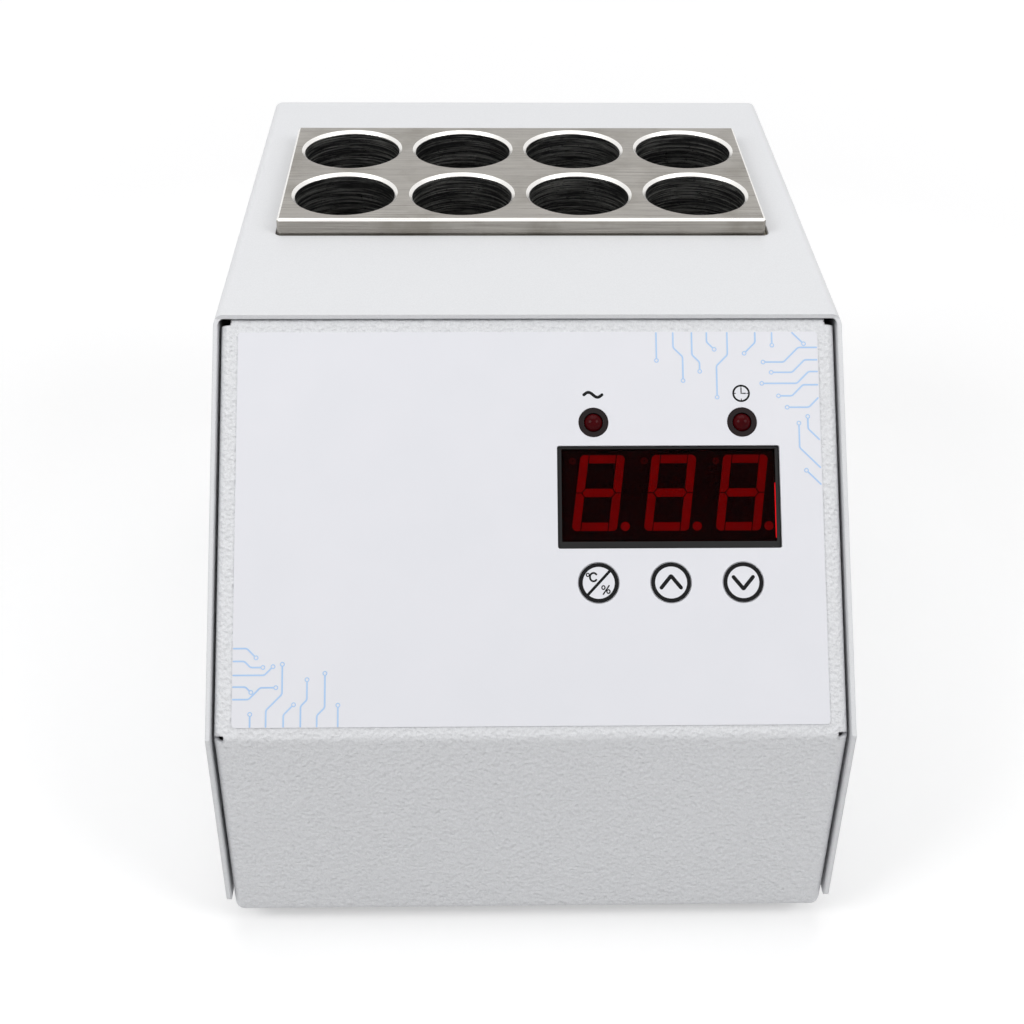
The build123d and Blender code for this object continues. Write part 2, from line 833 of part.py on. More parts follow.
def block_carrier():
    """A folded steel table: a deck under the insulation and two legs with feet on the case's floor."""
    height = deck_top - floor_top
    outer = Rectangle(2 * carrier_half, height, align=(Align.CENTER, Align.MAX))
    inner = Pos(0, -carrier_sheet) * Rectangle(
        2 * (carrier_half - carrier_sheet), height, align=(Align.CENTER, Align.MAX)
    )
    profile = outer - inner
    for side in (-1, 1):
        foot = Rectangle(carrier_foot, carrier_sheet, align=(Align.CENTER, Align.MIN))
        profile += Pos(side * (carrier_half - carrier_foot / 2), -height) * foot
    plane = Plane(
        origin=(0, front_y + block_back - carrier_length / 2, deck_top), x_dir=(-1, 0, 0), z_dir=(0, 1, 0)
    )
    table = extrude(plane * profile, amount=carrier_length)
    table = stack_holes(table, deck_top, carrier_sheet, cutout_body_radius + 2 * jacket_gap)
    for across, back in carrier_screw_places():
        table -= at(across, back, floor_top) * Cylinder(m4 / 2 + hole_clearance, 4 * carrier_sheet)
    for side in (-1, 1):
        window = Box(4 * carrier_sheet, carrier_length - 40.0, height - 40.0)
        table -= at(side * carrier_half, block_back, floor_top + height / 2) * window
    return table


def block_screws():
    length = block_screw_grip + mat_thick + clamp_thick + pad_thick + carrier_sheet
    turned = Rot(180, 0, 0) * pan_screw(m4, length, 2.6)
    return [at(across, back, deck_low) * turned for across, back in block_screw_places()]


def carrier_screws():
    """Screws up through the floor, each with a nut on the carrier's foot."""
    length = sheet + carrier_sheet + 4.0
    solids = []
    for across, back in carrier_screw_places():
        screw = Rot(180, 0, 0) * pan_screw(m4, length, 2.6)
        nut = extrude(RegularPolygon(3.5, 6, major_radius=False), amount=3.2)
        nut -= Cylinder(m4 / 2 + thread_clearance, 3.2, align=low)
        solids.append(at(across, back, foot_height) * screw)
        solids.append(at(across, back, floor_top + carrier_sheet) * nut)
    return solids


def temperature_probe():
    """A steel sheath in the block's middle web, closed at its top."""
    sheath = Cylinder(2.0, probe_sheath, align=high)
    sheath = fillet(sheath.edges().group_by(Axis.Z)[-1], 1.2)
    return at(block_shift, block_back, block_low + probe_length - 0.3) * sheath


def thermal_cutout():
    """A bimetal cut-out clamped under the plate, with its two blades below."""
    across, back = cutout_place()
    body = at(across, back, pad_top) * Cylinder(cutout_body_radius, cutout_body_height, align=high)
    for side in (-1, 1):
        blade = Box(0.8, 4.8, blade_length, align=high)
        body += at(across + side * cutout_blade_offset, back, pad_top - cutout_body_height) * blade
    return body


# Control board
def control_board_corners():
    half_width = control_board_width / 2 - board_inset
    half_length = control_board_length / 2 - board_inset
    middle = control_board_front + control_board_length / 2
    return [
        (control_board_across + side * half_width, middle + level * half_length)
        for side in (-1, 1)
        for level in (-1, 1)
    ]


def control_board():
    board = Box(control_board_width, control_board_length, board_thick, align=high)
    board = on_board(0, control_board_length / 2) * board
    for across, back in control_board_corners():
        board -= at(across, back, board_top) * Cylinder(m3 / 2 + hole_clearance, 4 * board_thick)
    return board


def board_standoffs():
    return [at(across, back, floor_top) * hex_post(board_lift) for across, back in control_board_corners()]


def transformer():
    """A small mains transformer: a stack of laminations round a wound bobbin."""
    core = Box(42.0, 16.0, 35.0, align=low)
    bobbin = Pos(0, 0, 6.0) * Box(27.0, 32.0, 23.0, align=low)
    bobbin = fillet(bobbin.edges().filter_by(Axis.Z), 2.0)
    return on_board(-37.0, 25.0) * (core + bobbin)


def power_relay():
    body = Box(29.0, 12.7, 15.7, align=low)
    body = fillet(body.edges().group_by(Axis.Z)[-1], 0.8)
    return on_board(45.0, 51.0) * body


def triac():
    """The heater's triac in its tabbed package, upright against the heat sink."""
    package = Pos(0, 0, 4.0) * Box(10.2, 4.5, 9.2, align=low)
    tab = Pos(0, 1.6, 13.2) * Box(10.2, 1.3, 6.4, align=low)
    tab -= Pos(0, 1.6, 16.6) * Rot(90, 0, 0) * Cylinder(1.8, 4.0)
    body = package + tab
    for index in (-1, 0, 1):
        body += Pos(index * 2.54, 0, 0) * Box(0.8, 0.5, 4.0, align=low)
    return on_board(45.0, 11.0) * body


def heat_sink():
    """A finned extrusion standing on the board."""
    base = Box(34.0, 3.0, 30.0, align=(Align.CENTER, Align.MIN, Align.MIN))
    fins = base
    for index in range(6):
        fin = Box(1.6, 12.0, 30.0, align=(Align.CENTER, Align.MIN, Align.MIN))
        fins += Pos((index - 2.5) * 6.4, 3.0, 0) * fin
    return on_board(45.0, 11.0 + 2.25) * fins


def terminal_block():
    """A six-way screw terminal along the rear edge of the board."""
    body = Box(6 * terminal_pitch, terminal_length, 15.0, align=low)
    body = chamfer(body.edges().group_by(Axis.Z)[-1].group_by(Axis.Y)[-1], 4.0)
    for index in range(6):
        across = (index - 2.5) * terminal_pitch
        body -= Pos(across, terminal_length / 2, terminal_rise) * Rot(90, 0, 0) * Cylinder(2.2, 6.0)
        body -= Pos(across, -2.0, 15.0) * Cylinder(2.4, 4.0)
    return on_board(terminal_across, terminal_back) * body


def capacitors():
    cans = []
    for across, radius, height in ((-5.0, 5.0, 20.0), (9.0, 4.0, 12.0), (21.0, 4.0, 12.0)):
        can = Cylinder(radius, height, align=low)
        can = fillet(can.edges(), 0.5)
        cans.append(on_board(across, 9.0) * can)
    return cans


# Back panel
def power_inlet():
    """The mains inlet: a flange, a socket for the lead and a slot for the fuse drawer."""
    flange = extrude(RectangleRounded(inlet_flange_width, inlet_flange_height, 3.0), amount=inlet_flange_thick)
    body = Box(inlet_body_width, inlet_body_height, inlet_body_depth, align=high)
    inlet = flange + body
    socket = RectangleRounded(socket_width, socket_height, 1.0)
    cavity = extrude(socket, amount=-socket_depth)
    inlet -= Pos(0, socket_rise, inlet_flange_thick) * cavity
    slot_width = drawer_width + 2 * drawer_slot_gap
    slot_height = drawer_height + 2 * drawer_slot_gap
    slot = Box(slot_width, slot_height, drawer_length + 0.5, align=high)
    inlet -= Pos(0, -drawer_drop, inlet_flange_thick) * slot
    for side in (-1, 1):
        hole = Cylinder(m3 / 2 + hole_clearance, 3 * inlet_flange_thick)
        sink = Cone(m3 / 2 + hole_clearance, m3 + hole_clearance, 1.8, align=high)
        inlet -= Pos(side * inlet_screw_pitch / 2, 0, 0) * hole
        inlet -= Pos(side * inlet_screw_pitch / 2, 0, inlet_flange_thick) * sink
    for across, up in inlet_pin_places():
        inlet -= Pos(across, up, inlet_flange_thick - socket_depth) * Box(2.0, 4.0, 30.0)
    return on_back(inlet_across, inlet_height) * inlet


def inlet_pin_places():
    """Live, neutral and earth on the inlet's own face."""
    middle = socket_rise
    return [
        (-pin_spacing / 2, middle - pin_offset / 2),
        (pin_spacing / 2, middle - pin_offset / 2),
        (0.0, middle + pin_offset / 2),
    ]


def inlet_pins():
    """Three blades through the inlet's floor, each with a tab behind for its lead."""
    pins = []
    for across, up in inlet_pin_places():
        floor_behind = inlet_body_depth - (socket_depth - inlet_flange_thick)
        blade = Box(2.0, 4.0, socket_depth - 1.5 + floor_behind, align=low)
        blade = chamfer(blade.edges().group_by(Axis.Z)[-1], 0.6)
        tab = Box(0.8, 4.0, blade_length, align=high)
        place = on_back(inlet_across, inlet_height, -inlet_body_depth)
        pins.append(place * Pos(across, up, 0) * (blade + tab))
    return pins


def inlet_screws():
    """Countersunk screws of the inlet with their nuts behind the panel."""
    solids = []
    head = Cone(m3 / 2, m3, 1.65, align=high)
    cross = Box(m3, 0.6, 1.0, align=high)
    for side in (-1, 1):
        shank = Cylinder(m3 / 2, 10.0, align=high)
        screw = head + shank - cross - Rot(0, 0, 90) * cross
        place = on_back(inlet_across + side * inlet_screw_pitch / 2, inlet_height)
        solids.append(place * Pos(0, 0, inlet_flange_thick - 0.05) * screw)
        nut = extrude(RegularPolygon(2.75, 6, major_radius=False), amount=-2.4)
        nut -= Cylinder(m3 / 2 + thread_clearance, 10.0)
        solids.append(place * Pos(0, 0, -sheet) * nut)
    return solids


def fuse_drawer():
    """The drawer under the socket: a front lip to pull and a tray with two channels."""
    front = inlet_flange_thick + drawer_proud
    lip = Box(drawer_width, drawer_height, drawer_lip, align=high)
    lip = fillet(lip.edges().group_by(Axis.Z)[-1], 0.4)
    grip = Pos(0, drawer_height / 2, 0) * Rot(0, 90, 0) * Cylinder(0.9, 8.0)
    tray = Box(drawer_width - 0.6, drawer_height - 0.4, drawer_length - drawer_lip, align=high)
    drawer = lip + Pos(0, 0, -drawer_lip) * tray - grip
    upward = (Align.CENTER, Align.MIN, Align.MAX)
    for side in (-1, 1):
        channel = Cylinder(fuse_radius + 0.15, fuse_length + 0.4, align=high)
        open_top = Box(2 * fuse_radius + 0.3, drawer_height, fuse_length + 0.4, align=upward)
        drawer -= Pos(side * fuse_spacing / 2, 0, -drawer_lip - 0.3) * (channel + open_top)
    return on_back(inlet_across, inlet_height - drawer_drop, front) * drawer


def fuses():
    """A working fuse and a spare, side by side in the drawer."""
    front = inlet_flange_thick + drawer_proud
    solids = []
    for side in (-1, 1):
        glass = Cylinder(fuse_radius, fuse_length, align=high)
        place = on_back(inlet_across, inlet_height - drawer_drop, front)
        solids.append(place * Pos(side * fuse_spacing / 2, 0, -drawer_lip - 0.5) * glass)
    return solids


def rocker_axis_out():
    """How far the rocker's pivot lies out from the back panel's face."""
    return switch_bezel_thick + rocker_proud - rocker_depth


def switch_body():
    """The switch's case: a bezel outside the panel, a hollow for the rocker and a bore for its pins."""
    bezel = Box(switch_bezel_width, switch_bezel_height, switch_bezel_thick, align=low)
    bezel = fillet(bezel.edges().group_by(Axis.Z)[-1], 0.8)
    body = Box(switch_body_width, switch_body_height, switch_body_depth, align=high)
    hollow_width = switch_body_width - 2 * switch_wall - 1.0
    hollow_height = switch_body_height - 2 * switch_wall + 0.4
    hollow = Box(hollow_width, hollow_height, switch_bezel_thick + rocker_radius + 1.0, align=high)
    shell = bezel + body - Pos(0, 0, switch_bezel_thick) * hollow
    bore = Rot(0, 90, 0) * Cylinder(rocker_pin + pin_clearance, switch_body_width - 2 * switch_wall + 0.4)
    shell -= Pos(0, 0, rocker_axis_out()) * bore
    return on_back(switch_across, switch_height) * shell


def rocker():
    """The rocker at its off position: a shallow vee across the front, round ends and two pivot pins."""
    reach = rocker_radius * 2
    wedge = Polygon(
        (-reach, -3.0),
        (reach, -3.0),
        (reach, rocker_depth + reach * math.tan(tilt)),
        (0, rocker_depth),
        (-reach, rocker_depth + reach * math.tan(tilt)),
        align=None,
    )
    hollow_width = switch_body_width - 2 * switch_wall - 1.0
    width = hollow_width - 2 * rocker_side_gap
    profile = Circle(rocker_radius) & wedge
    paddle = extrude(Plane.YZ * Rot(0, 0, 90) * profile, amount=width / 2, both=True)
    paddle = Rot(90, 0, 0) * Rot(0, 0, 180) * paddle
    pins = Rot(0, 90, 0) * Cylinder(rocker_pin, hollow_width + 1.0)
    turned = Rot(rocker_tilt, 0, 0)
    return on_back(switch_across, switch_height, rocker_axis_out()) * turned * (paddle + pins)


def switch_terminals():
    blades = []
    for side in (-1, 1):
        blade = Box(4.8, 0.8, blade_length, align=high)
        blades.append(on_back(switch_across, switch_height + side * blade_offset, -switch_body_depth) * blade)
    return blades


# Feet, cover screws and wiring
def foot_places():
    across = case_width / 2 - foot_side
    return [(side * across, back) for back in (foot_front, case_depth - foot_end) for side in (-1, 1)]


def feet():
    """Four tapered rubber feet, each hollow underneath round its screw."""
    body = Cone(foot_radius - foot_taper, foot_radius, foot_height, align=low)
    body -= Cylinder(foot_radius - 3.2, foot_recess, align=low)
    body -= Cylinder(m3 / 2 + hole_clearance, 2 * foot_height, align=low)
    return [at(across, back, 0) * body for across, back in foot_places()]


def foot_screws():
    """A screw up through each foot, with a nut on the case's floor."""
    solids = []
    length = foot_height - foot_recess + sheet + 3.2
    for across, back in foot_places():
        screw = Rot(180, 0, 0) * pan_screw(m3, length)
        nut = extrude(RegularPolygon(2.75, 6, major_radius=False), amount=2.4)
        nut -= Cylinder(m3 / 2 + thread_clearance, 2.4, align=low)
        solids.append(at(across, back, foot_recess) * screw)
        solids.append(at(across, back, floor_top) * nut)
    return solids


def cover_screw_places():
    return [(side, back) for side in (-1, 1) for back in (cover_screw_front, case_depth - cover_screw_end)]


def cover_screws():
    screws = []
    for side, back in cover_screw_places():
        screw = Rot(0, 90 * side, 0) * pan_screw(m3, screw_length)
        screws.append(at(side * case_width / 2, back, cover_screw_up + foot_height) * screw)
    return screws


def cover_nuts():
    """Clinch nuts on the inside of the floor's upturned flanges."""
    nuts = []
    for side, back in cover_screw_places():
        nut = Rot(0, -90 * side, 0) * tube(3.0, m3 / 2 + thread_clearance, 3.0)
        nuts.append(at(side * (chassis_half - sheet), back, cover_screw_up + foot_height) * nut)
    return nuts


def earth_stud():
    """A stud through the floor, held by a nut, with the lead's ring under a second nut."""
    stud = at(earth_across, earth_back, foot_height - 1.6) * Cylinder(m4 / 2, 16.0, align=low)
    head = at(earth_across, earth_back, foot_height) * Cylinder(3.6, 1.6, align=high)
    solids = [stud + head]
    for level in (0.0, stud_nut + 0.9):
        nut = extrude(RegularPolygon(3.5, 6, major_radius=False), amount=stud_nut)
        nut -= Cylinder(m4 / 2 + thread_clearance, stud_nut, align=low)
        solids.append(at(earth_across, earth_back, floor_top + level) * nut)
    return solids


def lead(points, radius=lead_radius, bend=lead_bend):
    """A round lead along straight runs joined by tangent arcs."""
    places = [(across, front_y + back, up) for across, back, up in points]
    path = FilletPolyline(*places, radius=bend)
    start = Plane(origin=path @ 0, z_dir=path % 0)
    return sweep(start * Circle(radius), path=path)


def blade_sleeve(width, height):
    """An insulated push-on terminal whose mouth faces +z at z = 0, open round a blade."""
    sleeve = Box(width + 2.4, height + 2.4, sleeve_length, align=high)
    mouth = Box(width + 0.1, height + 0.1, blade_length - 0.5, align=high)
    return sleeve - mouth


def terminal_end(index):
    """The last run of a lead into one way of the terminal block."""
    across = control_board_across + terminal_across + (index - 2.5) * terminal_pitch
    back = control_board_front + terminal_back + terminal_length / 2 - 2.5
    return (across, back, board_top + terminal_rise)


def inlet_tab(index):
    """Where a lead leaves the sleeve on one of the inlet's tabs."""
    across, up = inlet_pin_places()[index]
    back = rear_back - inlet_body_depth - 0.5 - sleeve_length
    return (inlet_across - across, back, inlet_height + up)


def switch_tab(side):
    back = rear_back - switch_body_depth - 0.5 - sleeve_length
    return (switch_across, back, switch_height + side * blade_offset)


def inlet_sleeve(index):
    across, back, up = inlet_tab(index)
    return on_back(across, up, -inlet_body_depth - 0.5) * blade_sleeve(0.8, 4.0)


def switch_sleeve(side):
    across, back, up = switch_tab(side)
    return on_back(across, up, -switch_body_depth - 0.5) * blade_sleeve(4.8, 0.8)


def down_to_board(start, end, back):
    """A route that runs forward, drops to the board's level and crosses to its terminal."""
    return [start, (start[0], back, start[2]), (start[0], back, end[2]), (end[0], back, end[2]), end]


def mains_leads():
    """Live from the inlet through the switch to the board, and neutral straight to the board."""
    live_start = inlet_tab(0)
    switched = switch_tab(1)
    cross_back = case_depth - live_run
    to_switch = lead(
        [
            live_start,
            (live_start[0], cross_back, live_start[2]),
            (switched[0], cross_back, live_start[2]),
            switched,
        ]
    )
    start = switch_tab(-1)
    end = terminal_end(0)
    to_board = lead(down_to_board(start, end, case_depth - switched_run))
    start = inlet_tab(1)
    end = terminal_end(5)
    neutral = lead(down_to_board(start, end, case_depth - neutral_run))
    return [
        to_switch + inlet_sleeve(0) + switch_sleeve(1),
        to_board + switch_sleeve(-1),
        neutral + inlet_sleeve(1),
    ]


def heater_leads():
    """The mat's two leads, one to the board and one to the board through the thermal cut-out."""
    across, back = cutout_place()
    mat_across = across - 2 * well_pitch
    behind_terminals = control_board_front + terminal_back
    end = terminal_end(4)
    first = lead(
        [
            (mat_across - mat_lead_offset, back, clamp_top),
            (mat_across - mat_lead_offset, back, mat_lead_low),
            (end[0], back, mat_lead_low),
            (end[0], behind_terminals + mat_run, mat_lead_low),
            (end[0], behind_terminals + mat_run, end[2]),
            end,
        ]
    )
    blade_low = pad_top - cutout_body_height - 0.5
    sleeve_low = blade_low - sleeve_length
    near = across - cutout_blade_offset
    second = lead(
        [
            (mat_across + mat_lead_offset, back, clamp_top),
            (mat_across + mat_lead_offset, back, mat_lead_high),
            (near, back, mat_lead_high),
            (near, back, sleeve_low),
        ],
        bend=5.0,
    )
    far = across + cutout_blade_offset
    end = terminal_end(3)
    third = lead(
        [
            (far, back, sleeve_low),
            (far, back, cutout_lead_low),
            (end[0], back, cutout_lead_low),
            (end[0], behind_terminals + cutout_run, cutout_lead_low),
            (end[0], behind_terminals + cutout_run, end[2]),
            end,
        ]
    )
    sleeve = blade_sleeve(0.8, 4.8)
    return [first, second + at(near, back, blade_low) * sleeve, third + at(far, back, blade_low) * sleeve]


def probe_lead():
    """The probe's thin lead, ending in its plug on the control board."""
    start_up = block_low + probe_length - 0.3 - probe_sheath
    plug_top = board_top + header_height
    plug_across = control_board_across + probe_plug_across
    plug_back = control_board_front + terminal_back
    points = [
        (block_shift, block_back, start_up),
        (block_shift, block_back, probe_lead_up),
        (block_shift, plug_back + cutout_run, probe_lead_up),
        (plug_across, plug_back + cutout_run, probe_lead_up),
        (plug_across, plug_back, probe_lead_up),
        (plug_across, plug_back, plug_top),
    ]
    return lead(points, radius=0.9)


def probe_plug():
    """The probe's two-way plug and header."""
    place = on_board(probe_plug_across, terminal_back)
    header = Box(7.5, 5.8, header_height - 2.5, align=low)
    plug = Pos(0, 0, header_height - 2.5) * Box(6.0, 4.6, 2.5, align=low)
    return [place * header, place * plug]


def earth_lead():
    """The inlet's earth lead, crimped into a ring under the stud's upper nut."""
    start = inlet_tab(2)
    ring_low = floor_top + stud_nut + 0.05
    centre_up = ring_low + 0.4
    barrel_back = earth_back - 5.0
    cross_back = case_depth - earth_run
    points = [
        start,
        (start[0], cross_back, start[2]),
        (start[0], cross_back, centre_up),
        (earth_across, cross_back, centre_up),
        (earth_across, barrel_back - 4.0, centre_up),
    ]
    body = lead(points, bend=5.0) + inlet_sleeve(2)
    ring = Cylinder(4.0, 0.8, align=low)
    neck = Pos(0, -4.0, 0) * Box(3.0, 4.0, 0.8, align=low)
    body += at(earth_across, earth_back, ring_low) * (ring + neck)
    body += at(earth_across, barrel_back, centre_up) * Rot(90, 0, 0) * Cylinder(1.7, 5.0, align=low)
    return body - at(earth_across, earth_back, ring_low) * Cylinder(m4 / 2 + thread_clearance, 4.0)


nodes = {
    "chassis": chassis(),
    "top_cover": top_cover(),
    "front_label": front_label(),
    "display_bezel": display_bezel(),
    "display_filter": display_filter(),
    "display_housing": display_housing(),
    "display_segments": display_segments(),
    "display_pins": display_pins(),
    "lamp_holders": lamp_holders(),
    "lamp_power": lamp(lamp_places()[0]),
    "lamp_timer": lamp(lamp_places()[1]),
    "tact_switches": tact_switches(),
    "display_board": display_board(),
    "display_board_parts": display_board_parts(),
    "display_standoffs": display_standoffs(),
    "board_screws": board_screws(),
    "ribbon_cable": ribbon_cable(),
    "ribbon_connectors": ribbon_connectors(),
    "heating_block": heating_block(),
    "heater_mat": heater_mat(),
    "clamp_plate": clamp_plate(),
    "insulation_pad": insulation_pad(),
    "insulation_jacket": insulation_jacket(),
    "block_carrier": block_carrier(),
    "block_screws": block_screws(),
    "carrier_screws": carrier_screws(),
    "temperature_probe": temperature_probe(),
    "thermal_cutout": thermal_cutout(),
    "control_board": control_board(),
    "board_standoffs": board_standoffs(),
    "transformer": transformer(),
    "power_relay": power_relay(),
    "triac": triac(),
    "heat_sink": heat_sink(),
    "terminal_block": terminal_block(),
    "capacitors": capacitors(),
    "power_inlet": power_inlet(),
    "inlet_pins": inlet_pins(),
    "inlet_screws": inlet_screws(),
    "fuse_drawer": fuse_drawer(),
    "fuses": fuses(),
    "switch_body": switch_body(),
    "switch_terminals": switch_terminals(),
    "rocker": rocker(),
    "feet": feet(),
    "foot_screws": foot_screws(),
    "cover_screws": cover_screws(),
    "cover_nuts": cover_nuts(),
    "earth_stud": earth_stud(),
    "mains_leads": mains_leads(),
    "heater_leads": heater_leads(),
    "probe_lead": probe_lead(),
    "probe_plug": probe_plug(),
    "earth_lead": earth_lead(),
}
for name, across in zip(("key_mode", "key_raise", "key_lower"), key_places()):
    nodes[name] = key(across)
    nodes[name.replace("key", "plunger")] = tact_plunger(across)

for name, shape in nodes.items():
    whole = Compound(children=shape) if isinstance(shape, list) else shape
    export_step(whole, "parts/" + name + ".step")
    print(name, len(whole.solids()), round(whole.volume), whole.bounding_box())
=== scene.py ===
import math

import bpy
import numpy as np
from mathutils import Matrix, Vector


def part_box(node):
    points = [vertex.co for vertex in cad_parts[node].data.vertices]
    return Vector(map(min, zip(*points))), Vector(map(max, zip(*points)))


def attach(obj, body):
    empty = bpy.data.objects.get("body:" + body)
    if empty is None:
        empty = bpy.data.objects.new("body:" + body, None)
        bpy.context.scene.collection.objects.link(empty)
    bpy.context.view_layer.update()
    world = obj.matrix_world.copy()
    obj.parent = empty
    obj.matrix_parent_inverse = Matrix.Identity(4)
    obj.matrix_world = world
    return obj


# A bench dry bath: white powder-coated case, sloped panel with a red display, eight wells in a metal block
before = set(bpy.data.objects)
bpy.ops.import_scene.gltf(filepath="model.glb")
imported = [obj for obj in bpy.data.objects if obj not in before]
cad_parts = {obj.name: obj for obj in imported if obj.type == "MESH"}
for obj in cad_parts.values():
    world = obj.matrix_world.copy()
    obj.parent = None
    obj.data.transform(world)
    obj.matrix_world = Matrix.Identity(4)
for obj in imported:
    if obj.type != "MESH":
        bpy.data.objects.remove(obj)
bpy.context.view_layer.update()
mm = 0.001
print("frame loaded", len(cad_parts), "nodes")


# Materials

def linear(colour):
    # sRGB hex to the linear values that Blender's sockets take
    parts = [int(colour[i:i + 2], 16) / 255 for i in (1, 3, 5)]
    return tuple(p / 12.92 if p <= 0.04045 else ((p + 0.055) / 1.055) ** 2.4 for p in parts) + (1.0,)


def setSocket(node, key, value):
    # a colour comes as sRGB hex, everything else as it is
    node.inputs[key].default_value = linear(value) if isinstance(value, str) else value


def wire(owner, node, sources):
    # feeds a node's sockets from other nodes' outputs
    for key, source in sources.items():
        owner.node_tree.links.new(source, node.inputs[key])


def addNode(owner, kind, settings=None, sources=None):
    # owner is a material or the world; settings name the node's own fields or its sockets
    node = owner.node_tree.nodes.new(kind)
    for key, value in (settings or {}).items():
        if isinstance(key, str) and hasattr(node, key):
            setattr(node, key, value)
        else:
            setSocket(node, key, value)
    wire(owner, node, sources or {})
    return node


def newMaterial(name, shader):
    mat = bpy.data.materials.new(name)
    mat.use_nodes = True
    surface = mat.node_tree.nodes["Principled BSDF"]
    for key, value in shader.items():
        setSocket(surface, key, value)
    return mat, surface


def perMm(size):
    # texture scale that makes one grain this many millimetres wide
    return 1 / (size * mm)


# Most of a noise texture's values lie in this span
noiseSpan = {"From Min": 0.3, "From Max": 0.7}


def coatPowder(name, look):
    # polyester powder coat, sprayed and baked: matt-satin skin with a fine orange peel and softened edges
    mat, surface = newMaterial(name, {"Metallic": 0.0, "IOR": 1.5, "Coat Weight": look["coat"],
                                      "Coat Roughness": 0.35})
    place = addNode(mat, "ShaderNodeTexCoord").outputs["Object"]
    peel = addNode(mat, "ShaderNodeTexNoise",
                   {"Scale": perMm(look["peel"]), "Detail": 3.0, "Roughness": 0.55}, {"Vector": place})
    cell = addNode(mat, "ShaderNodeTexVoronoi",
                   {"feature": "SMOOTH_F1", "Scale": perMm(look["cell"]), "Smoothness": 0.6},
                   {"Vector": place})
    grit = addNode(mat, "ShaderNodeTexNoise", {"Scale": perMm(look["grit"]), "Detail": 2.0},
                   {"Vector": place})
    drift = addNode(mat, "ShaderNodeTexNoise", {"Scale": perMm(look["drift"]), "Detail": 2.0},
                    {"Vector": place})
    height = addNode(mat, "ShaderNodeMath", {"operation": "MULTIPLY_ADD", 1: look["cellShare"]},
                     {0: cell.outputs["Distance"], 2: peel.outputs["Fac"]})
    edge = addNode(mat, "ShaderNodeBevel", {"samples": 6, "Radius": look["edge"] * mm})
    bump = addNode(mat, "ShaderNodeBump", {"Strength": look["strength"], "Distance": look["depth"] * mm},
                   {"Height": height.outputs[0], "Normal": edge.outputs["Normal"]})
    speck = addNode(mat, "ShaderNodeMix",
                    {"data_type": "RGBA", "clamp_factor": True, 6: look["dark"], 7: look["light"]},
                    {0: grit.outputs["Fac"]})
    patch = addNode(mat, "ShaderNodeMapRange", {**noiseSpan, "To Min": look["patchLow"], "To Max": 1.0},
                    {"Value": drift.outputs["Fac"]})
    tone = addNode(mat, "ShaderNodeVectorMath", {"operation": "SCALE"},
                   {0: speck.outputs[2], "Scale": patch.outputs["Result"]})
    rough = addNode(mat, "ShaderNodeMapRange",
                    {**noiseSpan, "To Min": look["rough"] - look["roughSpread"],
                     "To Max": look["rough"] + look["roughSpread"]},
                    {"Value": grit.outputs["Fac"]})
    wire(mat, surface, {"Base Color": tone.outputs[0], "Roughness": rough.outputs["Result"],
                        "Normal": bump.outputs["Normal"]})
    return mat


mouldPlain = {"strength": 0.3, "edge": 0.15, "sheen": 0.5, "coat": 0.0, "coatRough": 0.08,
              "reliefShare": 0.05, "cloudShare": 30, "roughSpread": 0.05}


def mouldPlastic(name, ownLook):
    # injection-moulded plastic: an even colour with a spark-eroded grain and slightly soft edges
    look = {**mouldPlain, **ownLook}
    mat, surface = newMaterial(name, {"Metallic": 0.0, "IOR": 1.49, "Specular IOR Level": look["sheen"],
                                      "Coat Weight": look["coat"], "Coat Roughness": look["coatRough"]})
    place = addNode(mat, "ShaderNodeTexCoord").outputs["Object"]
    grain = addNode(mat, "ShaderNodeTexNoise", {"Scale": perMm(look["grain"]), "Detail": 3.0},
                    {"Vector": place})
    cloud = addNode(mat, "ShaderNodeTexNoise",
                    {"Scale": perMm(look["grain"] * look["cloudShare"]), "Detail": 2.0}, {"Vector": place})
    edge = addNode(mat, "ShaderNodeBevel", {"samples": 4, "Radius": look["edge"] * mm})
    bump = addNode(mat, "ShaderNodeBump",
                   {"Strength": look["strength"], "Distance": look["grain"] * look["reliefShare"] * mm},
                   {"Height": grain.outputs["Fac"], "Normal": edge.outputs["Normal"]})
    tone = addNode(mat, "ShaderNodeMix", {"data_type": "RGBA", 6: look["dark"], 7: look["light"]},
                   {0: cloud.outputs["Fac"]})
    rough = addNode(mat, "ShaderNodeMapRange", {"To Min": look["rough"] - look["roughSpread"],
                                                "To Max": look["rough"] + look["roughSpread"]},
                    {"Value": cloud.outputs["Fac"]})
    wire(mat, surface, {"Base Color": tone.outputs[2], "Roughness": rough.outputs["Result"],
                        "Normal": bump.outputs["Normal"]})
    return mat


metalPlain = {"strength": 0.25, "edge": 0.12, "reliefShare": 0.04, "cloudShare": 25, "roughSpread": 0.08}


